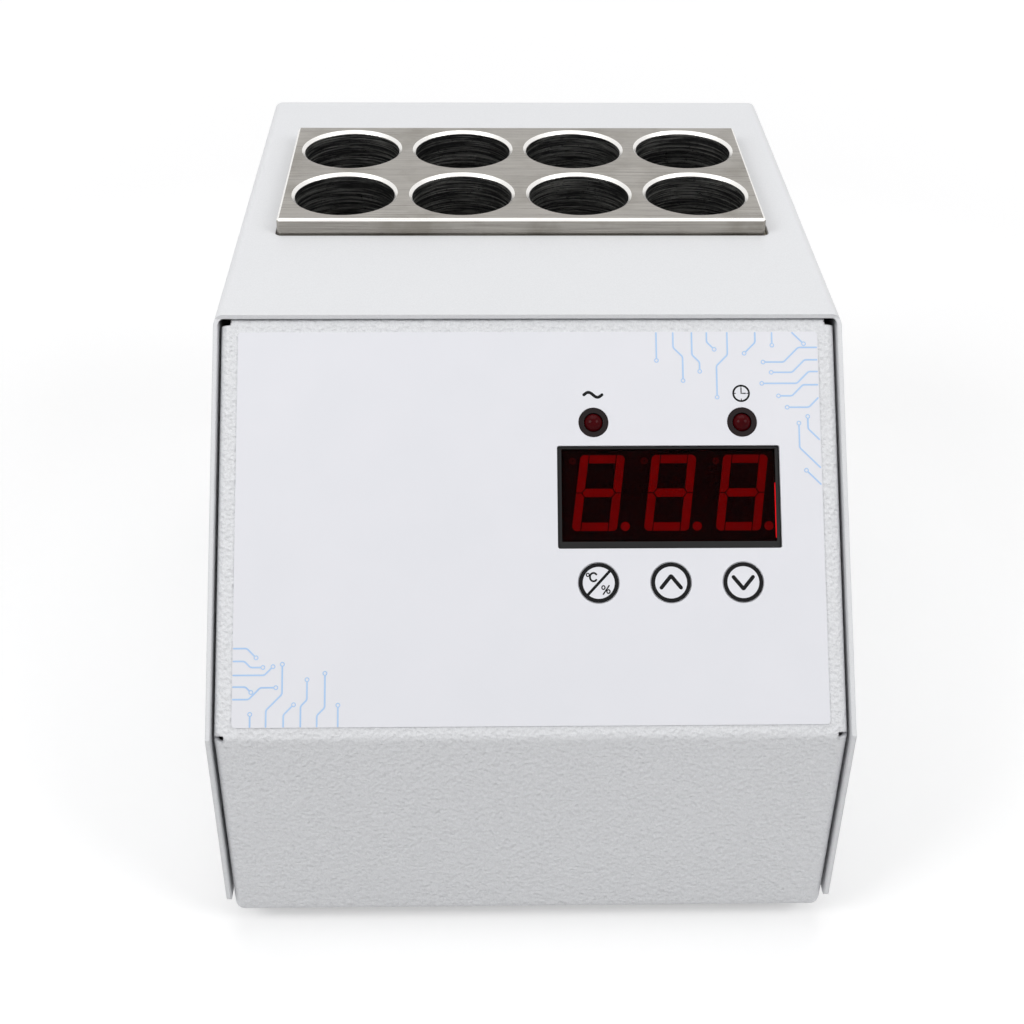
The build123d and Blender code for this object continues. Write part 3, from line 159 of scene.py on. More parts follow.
def workMetal(name, ownLook):
    # bare or plated metal: streaks of the rolling or polishing direction, soft wear in the tone
    look = {**metalPlain, **ownLook}
    mat, surface = newMaterial(name, {"Metallic": 1.0})
    place = addNode(mat, "ShaderNodeTexCoord").outputs["Object"]
    along = addNode(mat, "ShaderNodeMapping", {"Scale": look["stretch"]}, {"Vector": place})
    streak = addNode(mat, "ShaderNodeTexNoise", {"Scale": perMm(look["grain"]), "Detail": 4.0},
                     {"Vector": along.outputs["Vector"]})
    cloud = addNode(mat, "ShaderNodeTexNoise",
                    {"Scale": perMm(look["grain"] * look["cloudShare"]), "Detail": 3.0}, {"Vector": place})
    edge = addNode(mat, "ShaderNodeBevel", {"samples": 4, "Radius": look["edge"] * mm})
    bump = addNode(mat, "ShaderNodeBump",
                   {"Strength": look["strength"], "Distance": look["grain"] * look["reliefShare"] * mm},
                   {"Height": streak.outputs["Fac"], "Normal": edge.outputs["Normal"]})
    tone = addNode(mat, "ShaderNodeMix", {"data_type": "RGBA", 6: look["dark"], 7: look["light"]},
                   {0: cloud.outputs["Fac"]})
    rough = addNode(mat, "ShaderNodeMapRange", {"To Min": look["rough"] - look["roughSpread"],
                                                "To Max": look["rough"] + look["roughSpread"]},
                    {"Value": streak.outputs["Fac"]})
    wire(mat, surface, {"Base Color": tone.outputs[2], "Roughness": rough.outputs["Result"],
                        "Normal": bump.outputs["Normal"]})
    return mat


# The cover is smooth; the base sheet has a heavier peel and rounder bends
caseCoat = {"peel": 0.9, "cell": 1.3, "cellShare": 0.4, "grit": 0.35, "drift": 60.0, "strength": 0.5,
            "depth": 0.05, "edge": 0.4, "dark": "#d4d5d7", "light": "#e6e7e9", "patchLow": 0.985,
            "rough": 0.46, "roughSpread": 0.06, "coat": 0.12}
baseCoat = dict(caseCoat, peel=0.8, cell=1.2, cellShare=0.9, strength=1.0, depth=0.42, edge=1.1,
                dark="#d0d1d4", light="#eff0f2")
coverCoatMat = coatPowder("powderCoatFine", caseCoat)
baseCoatMat = coatPowder("powderCoatPeel", baseCoat)
print("powder coats made")


# Heating block: milled and brushed metal, its wells bored with tool rings, their walls carrying painted shade

blockLook = {"pitch": 35.2, "shift": -0.6, "radius": 15.0, "boreSlack": 0.12,
             "streakLong": 22.0, "streakWide": 0.35, "top": "#8f8b85", "topLight": "#b3afa8",
             "stain": "#7f7a70", "stainSize": 16.0, "stainFrom": 0.48, "stainTo": 0.68, "stainMost": 0.55,
             # bore walls: a painted shade colour; tool rings: a lighter colour painted as the light they
             # catch
             "shadedWall": "#565657", "ring": "#eeeeea", "ringPitch": 0.55, "ringStretch": 0.05,
             "ringFrom": 0.46, "ringTo": 0.66,
             # chamfer colour: a painted highlight
             "chamfer": "#f4f2ee", "chamferLean": 0.707, "leanSlack": 0.15,
             "rough": 0.3, "roughLess": 0.06, "roughMore": 0.1, "edge": 0.25, "strength": 0.35,
             "depth": 0.02}


def millBlock(name, look):
    # milled alloy, brushed on top: warm grey with faint stains; the bored walls get painted shade,
    # near-black, and the chamfers a painted highlight, bright
    lowCorner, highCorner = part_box("heating_block")
    middleY = (lowCorner[1] + highCorner[1]) / 2
    mat, surface = newMaterial(name, {"Metallic": 1.0})
    place = addNode(mat, "ShaderNodeTexCoord").outputs["Object"]
    # distance from the axis of the nearest well tells the bores from the rest
    axes = addNode(mat, "ShaderNodeSeparateXYZ", {}, {"Vector": place})
    fold = []
    for axis, middle in ((0, look["shift"] * mm), (1, middleY)):
        moved = addNode(mat, "ShaderNodeMath", {"operation": "SUBTRACT", 1: middle}, {0: axes.outputs[axis]})
        turn = addNode(mat, "ShaderNodeMath", {"operation": "FLOORED_MODULO", 1: look["pitch"] * mm},
                       {0: moved.outputs[0]})
        fold.append(addNode(mat, "ShaderNodeMath", {"operation": "SUBTRACT", 1: look["pitch"] * mm / 2},
                            {0: turn.outputs[0]}))
    flat = addNode(mat, "ShaderNodeCombineXYZ", {}, {0: fold[0].outputs[0], 1: fold[1].outputs[0]})
    reach = addNode(mat, "ShaderNodeVectorMath", {"operation": "LENGTH"}, {0: flat.outputs[0]})
    bored = addNode(mat, "ShaderNodeMath",
                    {"operation": "LESS_THAN", 1: (look["radius"] + look["boreSlack"]) * mm},
                    {0: reach.outputs["Value"]})
    # top: brushed along x, with faint stains
    brushed = addNode(mat, "ShaderNodeMapping",
                      {"Scale": (1 / look["streakLong"], 1 / look["streakWide"], 1 / look["streakWide"])},
                      {"Vector": place})
    streak = addNode(mat, "ShaderNodeTexNoise", {"Scale": perMm(1), "Detail": 5.0, "Roughness": 0.6},
                     {"Vector": brushed.outputs["Vector"]})
    cloud = addNode(mat, "ShaderNodeTexNoise",
                    {"Scale": perMm(look["stainSize"]), "Detail": 4.0, "Roughness": 0.6}, {"Vector": place})
    spread = addNode(mat, "ShaderNodeMapRange", noiseSpan, {"Value": streak.outputs["Fac"]})
    tone = addNode(mat, "ShaderNodeMix", {"data_type": "RGBA", 6: look["top"], 7: look["topLight"]},
                   {0: spread.outputs["Result"]})
    dirt = addNode(mat, "ShaderNodeMapRange",
                   {"From Min": look["stainFrom"], "From Max": look["stainTo"], "To Max": look["stainMost"]},
                   {"Value": cloud.outputs["Fac"]})
    stained = addNode(mat, "ShaderNodeMix", {"data_type": "RGBA", 7: look["stain"]},
                      {0: dirt.outputs["Result"], 6: tone.outputs[2]})
    # walls: painted shade inside the bores, with tool rings round the bore painted lighter as the light they
    # catch, broken up in strength
    turned = addNode(mat, "ShaderNodeMapping",
                     {"Scale": (look["ringStretch"], look["ringStretch"], 1 / look["ringPitch"])},
                     {"Vector": place})
    ring = addNode(mat, "ShaderNodeTexNoise", {"Scale": perMm(1), "Detail": 4.0, "Roughness": 0.7},
                   {"Vector": turned.outputs["Vector"]})
    ringEdge = addNode(mat, "ShaderNodeMapRange", {"From Min": look["ringFrom"], "From Max": look["ringTo"]},
                       {"Value": ring.outputs["Fac"]})
    shadedWall = addNode(mat, "ShaderNodeMix", {"data_type": "RGBA", 6: look["shadedWall"], 7: look["ring"]},
                   {0: ringEdge.outputs["Result"]})
    colour = addNode(mat, "ShaderNodeMix", {"data_type": "RGBA"},
                     {0: bored.outputs[0], 6: stained.outputs[2], 7: shadedWall.outputs[2]})
    # chamfers: faces that lean half over get a painted highlight, as the rims catch the light
    facing = addNode(mat, "ShaderNodeNewGeometry")
    lean = addNode(mat, "ShaderNodeSeparateXYZ", {}, {"Vector": facing.outputs["True Normal"]})
    chamfer = addNode(mat, "ShaderNodeMath",
                      {"operation": "COMPARE", 1: look["chamferLean"], 2: look["leanSlack"]},
                      {0: lean.outputs[2]})
    chamferHighlighted = addNode(mat, "ShaderNodeMix", {"data_type": "RGBA", 7: look["chamfer"]},
                       {0: chamfer.outputs[0], 6: colour.outputs[2]})
    relief = addNode(mat, "ShaderNodeMix", {}, {0: bored.outputs[0], 2: streak.outputs["Fac"],
                                                3: ring.outputs["Fac"]})
    edge = addNode(mat, "ShaderNodeBevel", {"samples": 6, "Radius": look["edge"] * mm})
    bump = addNode(mat, "ShaderNodeBump", {"Strength": look["strength"], "Distance": look["depth"] * mm},
                   {"Height": relief.outputs[0], "Normal": edge.outputs["Normal"]})
    rough = addNode(mat, "ShaderNodeMapRange",
                    {**noiseSpan, "To Min": look["rough"] - look["roughLess"],
                     "To Max": look["rough"] + look["roughMore"]},
                    {"Value": streak.outputs["Fac"]})
    wire(mat, surface, {"Base Color": chamferHighlighted.outputs[2], "Roughness": rough.outputs["Result"],
                        "Normal": bump.outputs["Normal"]})
    return mat


blockMat = millBlock("brushedBlock", blockLook)
print("block finish made")


# Panel film, keys, display and lamps

# polyester film, printed and laid on the sheet: satin white, faintly blue; the keys are capped with it too
filmMat = mouldPlastic("polyesterFilm", {"dark": "#e3e4e9", "light": "#e7e7ec", "grain": 0.5, "rough": 0.36,
                                         "strength": 0.12, "edge": 0.08, "coat": 0.15})
# moulded nylon frames of the display, the inlet and the switch: satin black
bezelMat = mouldPlastic("mouldedBlack", {"dark": "#070707", "light": "#101011", "grain": 0.3, "rough": 0.42,
                                         "sheen": 0.3})
# moulded lamp bushes: glossy black with a red cast from the lamps
bushMat = mouldPlastic("glossBlackBush", {"dark": "#0b0304", "light": "#170506", "grain": 0.6, "rough": 0.2,
                                          "strength": 0.05, "sheen": 0.3})
# moulded body of the display behind its pane: red-black and dull
housingMat = mouldPlastic("displayFace", {"dark": "#160304", "light": "#1e0405", "grain": 0.4, "rough": 0.6,
                                          "sheen": 0.05})


paneWave = {"size": 9.0, "strength": 0.08, "depth": 0.02}


def castAcrylic(name, look):
    # cast acrylic or glass, tinted right through; the display's pane is bloomed, so its IOR is low
    mat, surface = newMaterial(name, {"Base Color": look["tint"], "Roughness": look["rough"],
                                      "IOR": look["ior"], "Transmission Weight": 1.0})
    place = addNode(mat, "ShaderNodeTexCoord").outputs["Object"]
    wave = addNode(mat, "ShaderNodeTexNoise", {"Scale": perMm(paneWave["size"]), "Detail": 1.0},
                   {"Vector": place})
    bump = addNode(mat, "ShaderNodeBump",
                   {"Strength": paneWave["strength"], "Distance": paneWave["depth"] * mm},
                   {"Height": wave.outputs["Fac"]})
    wire(mat, surface, {"Normal": bump.outputs["Normal"]})
    return mat


def glowDiffuser(name, look):
    # epoxy-filled light bar, unlit, catching the room through the red pane: dull red, slightly cloudy, with a
    # painted glow from its emission where set
    mat, surface = newMaterial(name, {"Roughness": 0.7, "IOR": 1.5, "Specular IOR Level": 0.05,
                                      "Emission Strength": look["glow"]})
    place = addNode(mat, "ShaderNodeTexCoord").outputs["Object"]
    cloud = addNode(mat, "ShaderNodeTexNoise", {"Scale": perMm(look["cloud"]), "Detail": 2.0},
                    {"Vector": place})
    tone = addNode(mat, "ShaderNodeMix", {"data_type": "RGBA", 6: look["dark"], 7: look["light"]},
                   {0: cloud.outputs["Fac"]})
    wire(mat, surface, {"Base Color": tone.outputs[2], "Emission Color": tone.outputs[2]})
    return mat


paneMat = castAcrylic("redAcrylic", {"tint": "#b01018", "rough": 0.03, "ior": 1.1})
# the unlit segments get a painted red glow from emission
segmentMat = glowDiffuser("segmentDiffuser", {"dark": "#7c0912", "light": "#9c0f18", "cloud": 4.0,
                                              "glow": 0.35})
faintPointMat = glowDiffuser("clearPoint", {"dark": "#4a0a0e", "light": "#560c10", "cloud": 3.0, "glow": 0.0})
# painted highlight for the lit edge of the pane
edgeGlowMat = glowDiffuser("litEdge", {"dark": "#b8080e", "light": "#e0141a", "cloud": 6.0, "glow": 0.6})


def castEpoxy(name, look):
    # tinted epoxy lamp, cast in one: deep red body, clear polished dome; its faint emission is a painted glow
    mat, surface = newMaterial(name, {"Roughness": 0.12, "IOR": 1.55, "Coat Weight": 0.06,
                                      "Coat Roughness": 0.05, "Specular IOR Level": 0.02,
                                      "Emission Color": look["deep"], "Emission Strength": look["glow"]})
    place = addNode(mat, "ShaderNodeTexCoord").outputs["Object"]
    cloud = addNode(mat, "ShaderNodeTexNoise", {"Scale": perMm(look["cloud"]), "Detail": 2.0},
                    {"Vector": place})
    tone = addNode(mat, "ShaderNodeMix", {"data_type": "RGBA", 6: look["deep"], 7: look["rim"]},
                   {0: cloud.outputs["Fac"]})
    wire(mat, surface, {"Base Color": tone.outputs[2]})
    return mat


# faint painted glow in the lamps
lampMat = castEpoxy("redEpoxy", {"deep": "#2a0104", "rim": "#4c050a", "cloud": 1.6, "glow": 0.12})
# screen inks, pressed through a mesh and dried: flat colours with hardly any gloss
inkFilm = {"grain": 0.25, "rough": 0.5, "strength": 0.1, "edge": 0.02}
inkBlackMat = mouldPlastic("screenInkBlack", {**inkFilm, "dark": "#08080a", "light": "#101012", "rough": 0.6,
                                              "sheen": 0.15})
inkBlueMat = mouldPlastic("screenInkBlue", {**inkFilm, "dark": "#9fc3ec", "light": "#b9d3f2"})
inkWhiteMat = mouldPlastic("markInkWhite", {**inkFilm, "dark": "#d8d8d6", "light": "#ecece9"})
print("panel finishes made")

# Everything else, seen at the back, underneath and through the slots

# zinc-plated sheet, rolled: dull grey with faint streaks along x
steelMat = workMetal("zincSteel", {"dark": "#8d9093", "light": "#a9acae", "grain": 0.5, "rough": 0.38,
                                   "stretch": (0.08, 1, 1)})
# bright-plated screws and probe, headed and turned: light and glossy
screwMat = workMetal("platedScrew", {"dark": "#a4a6a8", "light": "#c4c6c8", "grain": 0.3, "rough": 0.22,
                                     "stretch": (1, 1, 1)})
# tinned brass pins and spacers, drawn: pale yellow, streaked along z
brassMat = workMetal("tinnedBrass", {"dark": "#b8a878", "light": "#cfc39a", "grain": 0.3, "rough": 0.28,
                                     "stretch": (1, 1, 0.2)})
# varnished laminations, stamped and stacked: dark and finely layered
coreMat = workMetal("varnishedCore", {"dark": "#303032", "light": "#4a4a4c", "grain": 0.4, "rough": 0.5,
                                      "stretch": (1, 1, 0.05)})
# moulded rubber feet: matt black
rubberMat = mouldPlastic("mouldedRubber", {"dark": "#141414", "light": "#1f1f20", "grain": 0.5,
                                           "rough": 0.72})
# glass-fibre board under a solder mask: deep green, half glossy
boardMat = mouldPlastic("solderMask", {"dark": "#0f3d22", "light": "#17512e", "grain": 0.8, "rough": 0.35,
                                       "coat": 0.3})
# moulded epoxy and nylon of the small parts: dull black
blackPartMat = mouldPlastic("chipBlack", {"dark": "#151516", "light": "#222224", "grain": 0.2, "rough": 0.55})
# ceramic-fibre felt, needled: pale and rough
feltMat = mouldPlastic("fibreFelt", {"dark": "#b7b2a2", "light": "#cfcabb", "grain": 0.9, "rough": 0.9,
                                     "strength": 1.0})
# silicone heater mat, pressed: brick red and rubbery
siliconeMat = mouldPlastic("siliconeMat", {"dark": "#8a3a20", "light": "#a5492a", "grain": 0.7, "rough": 0.6})
# vinyl sleeves of the leads, extruded: even colours, half glossy
redLeadMat = mouldPlastic("leadRed", {"dark": "#7a1712", "light": "#93201a", "grain": 0.6, "rough": 0.4})
earthLeadMat = mouldPlastic("leadGreen", {"dark": "#47701c", "light": "#668f2a", "grain": 0.6, "rough": 0.4})
greyLeadMat = mouldPlastic("leadGrey", {"dark": "#85878a", "light": "#9a9c9f", "grain": 0.6, "rough": 0.42})
# moulded housings of the relay and the terminals: clean colours
relayMat = mouldPlastic("relayBlue", {"dark": "#1c3a66", "light": "#264a7e", "grain": 0.3, "rough": 0.38})
terminalMat = mouldPlastic("terminalGreen", {"dark": "#1c6b34", "light": "#278043", "grain": 0.3,
                                             "rough": 0.45})
fuseMat = castAcrylic("fuseGlass", {"tint": "#e2ecec", "rough": 0.04, "ior": 1.5})

finishes = {
    coverCoatMat: ["top_cover"],
    baseCoatMat: ["chassis"],
    filmMat: ["front_label", "key_mode", "key_raise", "key_lower"],
    bezelMat: ["display_bezel", "power_inlet", "switch_body", "fuse_drawer", "rocker"],
    paneMat: ["display_filter"],
    housingMat: ["display_housing"],
    segmentMat: ["display_segments"],
    lampMat: ["lamp_power", "lamp_timer"],
    bushMat: ["lamp_holders"],
    blockMat: ["heating_block"],
    steelMat: ["block_carrier", "clamp_plate", "heat_sink"],
    screwMat: ["board_screws", "block_screws", "carrier_screws", "inlet_screws", "foot_screws",
               "cover_screws", "cover_nuts", "temperature_probe"],
    brassMat: ["inlet_pins", "switch_terminals", "display_pins", "display_standoffs", "board_standoffs",
               "earth_stud"],
    coreMat: ["transformer"],
    rubberMat: ["feet"],
    boardMat: ["display_board", "control_board"],
    blackPartMat: ["display_board_parts", "ribbon_connectors", "thermal_cutout", "triac", "capacitors",
                   "tact_switches", "plunger_mode", "plunger_raise", "plunger_lower", "probe_plug"],
    feltMat: ["insulation_pad", "insulation_jacket"],
    siliconeMat: ["heater_mat"],
    redLeadMat: ["mains_leads", "heater_leads"],
    earthLeadMat: ["earth_lead"],
    greyLeadMat: ["ribbon_cable", "probe_lead"],
    relayMat: ["power_relay"],
    terminalMat: ["terminal_block"],
    fuseMat: ["fuses"],
}
for mat, names in finishes.items():
    for name in names:
        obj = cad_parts[name]
        obj.data.materials.clear()
        obj.data.materials.append(mat)
print("finishes laid on", sum(len(names) for names in finishes.values()), "nodes")


# Print on the panel: every mark is an ink stroke laid on the sloped face

panel = {"rise": 81.8, "run": 75.2, "labelLow": 3.1, "film": 0.35, "ink": 0.02}
panelSlope = math.atan2(panel["rise"], panel["run"])
slopeCos, slopeSin = math.cos(panelSlope), math.sin(panelSlope)
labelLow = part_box("front_label")[0]
kneeY = labelLow[1] / mm - panel["labelLow"] * slopeCos + panel["film"] * slopeSin
kneeZ = labelLow[2] / mm - panel["labelLow"] * slopeSin
filmTop = panel["film"] + panel["ink"]


def onPanel(across, up, out):
    # millimetres on the sloped face to metres in the frame: the knee is the origin, up runs along the slope
    return np.stack([across, kneeY + up * slopeCos - out * slopeSin, kneeZ + up * slopeSin + out * slopeCos],
                    axis=-1) * mm


def roundCorners(points, radius, steps=6):
    # each inner corner becomes a quadratic arc between the points one radius before and after it
    points = np.asarray(points, float)
    if len(points) < 3:
        return points
    before, corner, after = points[:-2], points[1:-1], points[2:]
    toBefore = (before - corner) / np.linalg.norm(before - corner, axis=1, keepdims=True)
    toAfter = (after - corner) / np.linalg.norm(after - corner, axis=1, keepdims=True)
    t = np.linspace(0, 1, steps)[None, :, None]
    start, end = corner + toBefore * radius, corner + toAfter * radius
    arcs = (1 - t) ** 2 * start[:, None] + 2 * t * (1 - t) * corner[:, None] + t ** 2 * end[:, None]
    return np.vstack([points[:1], arcs.reshape(-1, 2), points[-1:]])


def strokeGrid(path, width, closed=False, capSteps=5):
    # a flat line carried along a path: its edges stand half a width off, its ends close in half circles
    path = np.asarray(path, float)
    half = np.full(len(path), width / 2)
    if not closed:
        turn = np.linspace(math.pi / 2, 0, capSteps, endpoint=False)
        first = (path[0] - path[1]) / np.linalg.norm(path[0] - path[1])
        last = (path[-1] - path[-2]) / np.linalg.norm(path[-1] - path[-2])
        head = path[0] + first * (width / 2) * np.sin(turn)[:, None]
        tail = path[-1] + last * (width / 2) * np.sin(turn[::-1])[:, None]
        half = np.concatenate([width / 2 * np.cos(turn), half, width / 2 * np.cos(turn[::-1])])
        path = np.vstack([head, path, tail])
        along = np.gradient(path, axis=0)
    else:
        along = np.roll(path, -1, axis=0) - np.roll(path, 1, axis=0)
    along /= np.linalg.norm(along, axis=1, keepdims=True)
    side = np.stack([-along[:, 1], along[:, 0]], axis=1)
    offsets = np.array([1.0, 0.0, -1.0])
    flat = path[:, None] + side[:, None] * (half[:, None, None] * offsets[None, :, None])
    lift = np.tile(np.array([0.0, 1.0, 0.0]), (len(path), 1))
    return flat, lift, closed


def circlePath(middle, radius, start=0.0, sweep=360.0, count=40, squash=1.0):
    steps = count if sweep == 360.0 else count - 1
    angle = np.radians(start + sweep * np.arange(count) / steps)
    return np.stack([middle[0] + radius * squash * np.cos(angle), middle[1] + radius * np.sin(angle)], axis=1)


def ringStroke(middle, radius, width, count=40, squash=1.0):
    return strokeGrid(circlePath(middle, radius, count=count, squash=squash), width, closed=True)


def inkPiece(name, strokes, level, mat, body, place=onPanel, thick=0.012):
    # joins the strokes of one colour into one mesh; each is a grid three points wide, its middle raised
    vertexRows, faceRows, base = [], [], 0
    for flat, lift, closed in strokes:
        rows, columns = flat.shape[:2]
        spot = place(flat[..., 0].ravel(), flat[..., 1].ravel(), level + thick * lift.ravel())
        row = np.arange(rows if closed else rows - 1)
        column = np.arange(columns - 1)
        here = (row[:, None] * columns + column[None, :]).ravel()
        ahead = (((row[:, None] + 1) % rows) * columns + column[None, :]).ravel()
        faceRows.append(np.stack([here, ahead, ahead + 1, here + 1], axis=1) + base)
        vertexRows.append(spot)
        base += rows * columns
    vertices, faces = np.vstack(vertexRows), np.vstack(faceRows)
    mesh = bpy.data.meshes.new(name)
    mesh.from_pydata(vertices.tolist(), [], faces.tolist())
    mesh.update()
    obj = bpy.data.objects.new(name, mesh)
    bpy.context.scene.collection.objects.link(obj)
    mesh.polygons.foreach_set("use_smooth", np.ones(len(mesh.polygons), bool))
    mesh.materials.append(mat)
    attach(obj, body)


# Decorative circuit lines in two corners; each list is a route in millimetres and ends in a small ring
traceLook = {"width": 0.42, "ring": 0.62, "ringLine": 0.26, "bend": 0.5}
traceRoutes = [
    [(34.0, 107.0), (34.0, 99.5)],
    [(38.5, 107.0), (38.5, 103.0), (41.0, 100.5), (41.0, 94.0)],
    [(43.5, 107.0), (43.5, 101.0), (45.5, 99.0), (45.5, 96.5)],
    [(47.5, 107.0), (47.5, 104.5), (49.5, 102.5)],
    [(53.0, 107.0), (53.0, 101.0), (50.0, 98.0), (50.0, 89.5)],
    [(76.9, 103.0), (72.0, 103.0), (68.0, 99.0), (62.5, 99.0)],
    [(76.9, 99.6), (73.6, 99.6), (70.2, 96.2), (64.6, 96.2)],
    [(76.9, 96.4), (74.6, 96.4), (71.4, 93.2), (62.0, 93.2)],
    [(76.9, 92.8), (73.0, 92.8), (70.0, 89.8), (66.4, 89.8)],
    [(76.9, 89.2), (74.4, 86.7), (68.6, 86.7)],
    [(60.5, 107.0), (60.5, 104.4), (57.5, 101.4)],
    [(65.0, 107.0), (65.0, 103.6)],
    [(76.9, 78.0), (74.0, 80.9), (74.0, 84.2)],
    [(76.9, 70.5), (71.6, 75.8), (71.6, 82.4)],
    [(76.9, 66.0), (73.2, 69.7)],
    [(70.5, 107.0), (73.5, 104.0)],
    [(-77.0, 23.5), (-73.6, 23.5), (-71.2, 21.1)],
    [(-77.0, 20.2), (-74.2, 20.2), (-72.6, 18.6), (-69.4, 18.6)],
    [(-77.0, 16.6), (-69.0, 16.6), (-66.8, 18.8)],
    [(-77.0, 13.6), (-73.8, 13.6), (-72.4, 12.2)],
    [(-77.0, 10.4), (-73.0, 10.4), (-70.0, 13.4), (-66.0, 13.4)],
    [(-68.5, 3.4), (-68.5, 7.6), (-64.4, 11.7), (-64.4, 19.4)],
    [(-64.0, 3.4), (-64.0, 6.4), (-61.4, 9.0)],
    [(-59.6, 3.4), (-59.6, 8.6), (-58.0, 10.2), (-58.0, 15.4)],
    [(-55.4, 3.4), (-55.4, 6.2), (-53.4, 8.2), (-53.4, 17.0)],
    [(-50.0, 3.4), (-50.0, 8.8)],
    [(-72.6, 3.4), (-72.6, 6.6)],
]
traceStrokes = []
for route in traceRoutes:
    route = np.array(route)
    back = (route[-2] - route[-1]) / np.linalg.norm(route[-2] - route[-1])
    middle = route[-1].copy()
    route = np.vstack([route[:-1], middle + back * traceLook["ring"]])
    traceStrokes.append(strokeGrid(roundCorners(route, traceLook["bend"]), traceLook["width"]))
    traceStrokes.append(ringStroke(middle, traceLook["ring"] - traceLook["ringLine"] / 2,
                                   traceLook["ringLine"], count=20))
inkPiece("label_traces", traceStrokes, filmTop, inkBlueMat, "case")

# Symbols over the lamps: a wave for power and a small clock for time
iconLook = {"wave": (16.9, 90.2), "waveHalf": 2.4, "waveRise": 0.675, "waveLine": 0.8, "clock": (56.4, 90.5),
            "clockRadius": 2.1, "clockLine": 0.5, "minute": 1.35, "hour": 1.1, "handLine": 0.34,
            "tickFrom": 1.5, "tickTo": 1.8, "tickLine": 0.22}
waveAcross = np.linspace(-1, 1, 24)
wavePath = np.stack([iconLook["wave"][0] + waveAcross * iconLook["waveHalf"],
                     iconLook["wave"][1] - np.sin(waveAcross * math.pi) * iconLook["waveRise"]], axis=1)
clockX, clockY = iconLook["clock"]
iconStrokes = [
    strokeGrid(wavePath, iconLook["waveLine"]),
    ringStroke((clockX, clockY), iconLook["clockRadius"], iconLook["clockLine"]),
    strokeGrid([(clockX, clockY + iconLook["minute"]), (clockX, clockY), (clockX + iconLook["hour"], clockY)],
               iconLook["handLine"]),
]
for angle in np.radians(range(0, 360, 90)):
    tick = np.array([math.cos(angle), math.sin(angle)])
    iconStrokes.append(strokeGrid([tick * iconLook["tickFrom"] + (clockX, clockY),
                                   tick * iconLook["tickTo"] + (clockX, clockY)], iconLook["tickLine"]))
inkPiece("label_icons", iconStrokes, filmTop, inkBlackMat, "case")
print("label printed")

# Key faces: a ring each, with unit signs, an up arrow and a down arrow
keyLook = {"centres": (17.75, 36.7, 55.65), "up": 40.1, "ring": 4.72, "line": 1.06, "arrowLine": 1.0,
           "arrow": [(-2.55, -1.35), (0.0, 1.75), (2.55, -1.35)], "arrowBend": 0.25}
unitLook = {"bar": [(-2.75, -3.0), (2.85, 3.0)], "barLine": 0.72,
            "degree": (-2.85, 2.1), "degreeRadius": 0.4, "degreeLine": 0.3,
            "letter": (-1.35, 1.5), "letterRadius": 1.1, "letterFrom": 40, "letterSweep": 280,
            "letterLine": 0.5, "cent": [(1.15, -3.0), (2.7, -0.75)], "centLine": 0.36,
            "rounds": [(1.2, -1.25), (2.5, -2.3)], "roundRadius": 0.48, "roundLine": 0.32, "squash": 0.85}


def keyRing(middle):
    return ringStroke(middle, keyLook["ring"], keyLook["line"], count=64)


def arrowStroke(middle, direction):
    tip = np.array(keyLook["arrow"]) * (1, direction)
    return strokeGrid(roundCorners(tip + middle, keyLook["arrowBend"]), keyLook["arrowLine"])


def unitStrokes(middle):
    # degree sign and letter over a slanted bar, and a per cent sign under it
    look, middle = unitLook, np.array(middle)
    letter = circlePath(middle + look["letter"], look["letterRadius"], look["letterFrom"],
                        look["letterSweep"], 24, squash=look["squash"])
    strokes = [
        strokeGrid(middle + look["bar"], look["barLine"]),
        ringStroke(middle + look["degree"], look["degreeRadius"], look["degreeLine"], count=20),
        strokeGrid(letter, look["letterLine"]),
        strokeGrid(middle + look["cent"], look["centLine"]),
    ]
    for spot in look["rounds"]:
        strokes.append(ringStroke(middle + spot, look["roundRadius"], look["roundLine"], count=20,
                                  squash=look["squash"]))
    return strokes


keyMiddles = [(across, keyLook["up"]) for across in keyLook["centres"]]
keySigns = {"mode": unitStrokes(keyMiddles[0]), "raise": [arrowStroke(keyMiddles[1], 1)],
            "lower": [arrowStroke(keyMiddles[2], -1)]}
for middle, (key, signs) in zip(keyMiddles, keySigns.items()):
    inkPiece("key_" + key + "_print", [keyRing(middle)] + signs, filmTop, inkBlackMat, key + "_key")

# Unused upper points of the three digits, moulded in the display's face and barely seen
pointLook = {"digit": 37.3, "pitch": 19.05, "left": 6.8, "up": 72.8, "radius": 0.6, "line": 0.7, "out": -2.38}
pointStrokes = []
for index in (-1, 0, 1):
    across = pointLook["digit"] + index * pointLook["pitch"] - pointLook["left"]
    pointStrokes.append(ringStroke((across, pointLook["up"]), pointLook["radius"], pointLook["line"],
                                   count=24))
inkPiece("display_upper_points", pointStrokes, pointLook["out"], faintPointMat, "case")

# Painted highlight: a glowing strip for the light caught in the right-hand edge of the red pane
glowLook = {"across": 64.86, "low": 52.0, "high": 66.5, "line": 0.24, "out": -0.58, "steps": 12}
glowPath = np.stack([np.full(glowLook["steps"], glowLook["across"]),
                     np.linspace(glowLook["low"], glowLook["high"], glowLook["steps"])], axis=1)
inkPiece("pane_edge_glow", [strokeGrid(glowPath, glowLook["line"])], glowLook["out"], edgeGlowMat, "case")

# On and off marks on the rocker, laid on its two tilted faces
rockerLook = {"across": -42.0, "height": 42.0, "tilt": 10.0, "depth": 4.0, "axisOut": -1.7, "flange": 3.0,
              "level": 0.03, "bar": [(0.0, 2.6), (0.0, 5.0)], "barLine": 0.5,
              "ring": (0.0, 3.8), "ringRadius": 1.25, "ringLine": 0.45}
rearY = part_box("power_inlet")[1][1] / mm - rockerLook["flange"]
rockerTilt = math.radians(rockerLook["tilt"])
tiltCos, tiltSin = math.cos(rockerTilt), math.sin(rockerTilt)


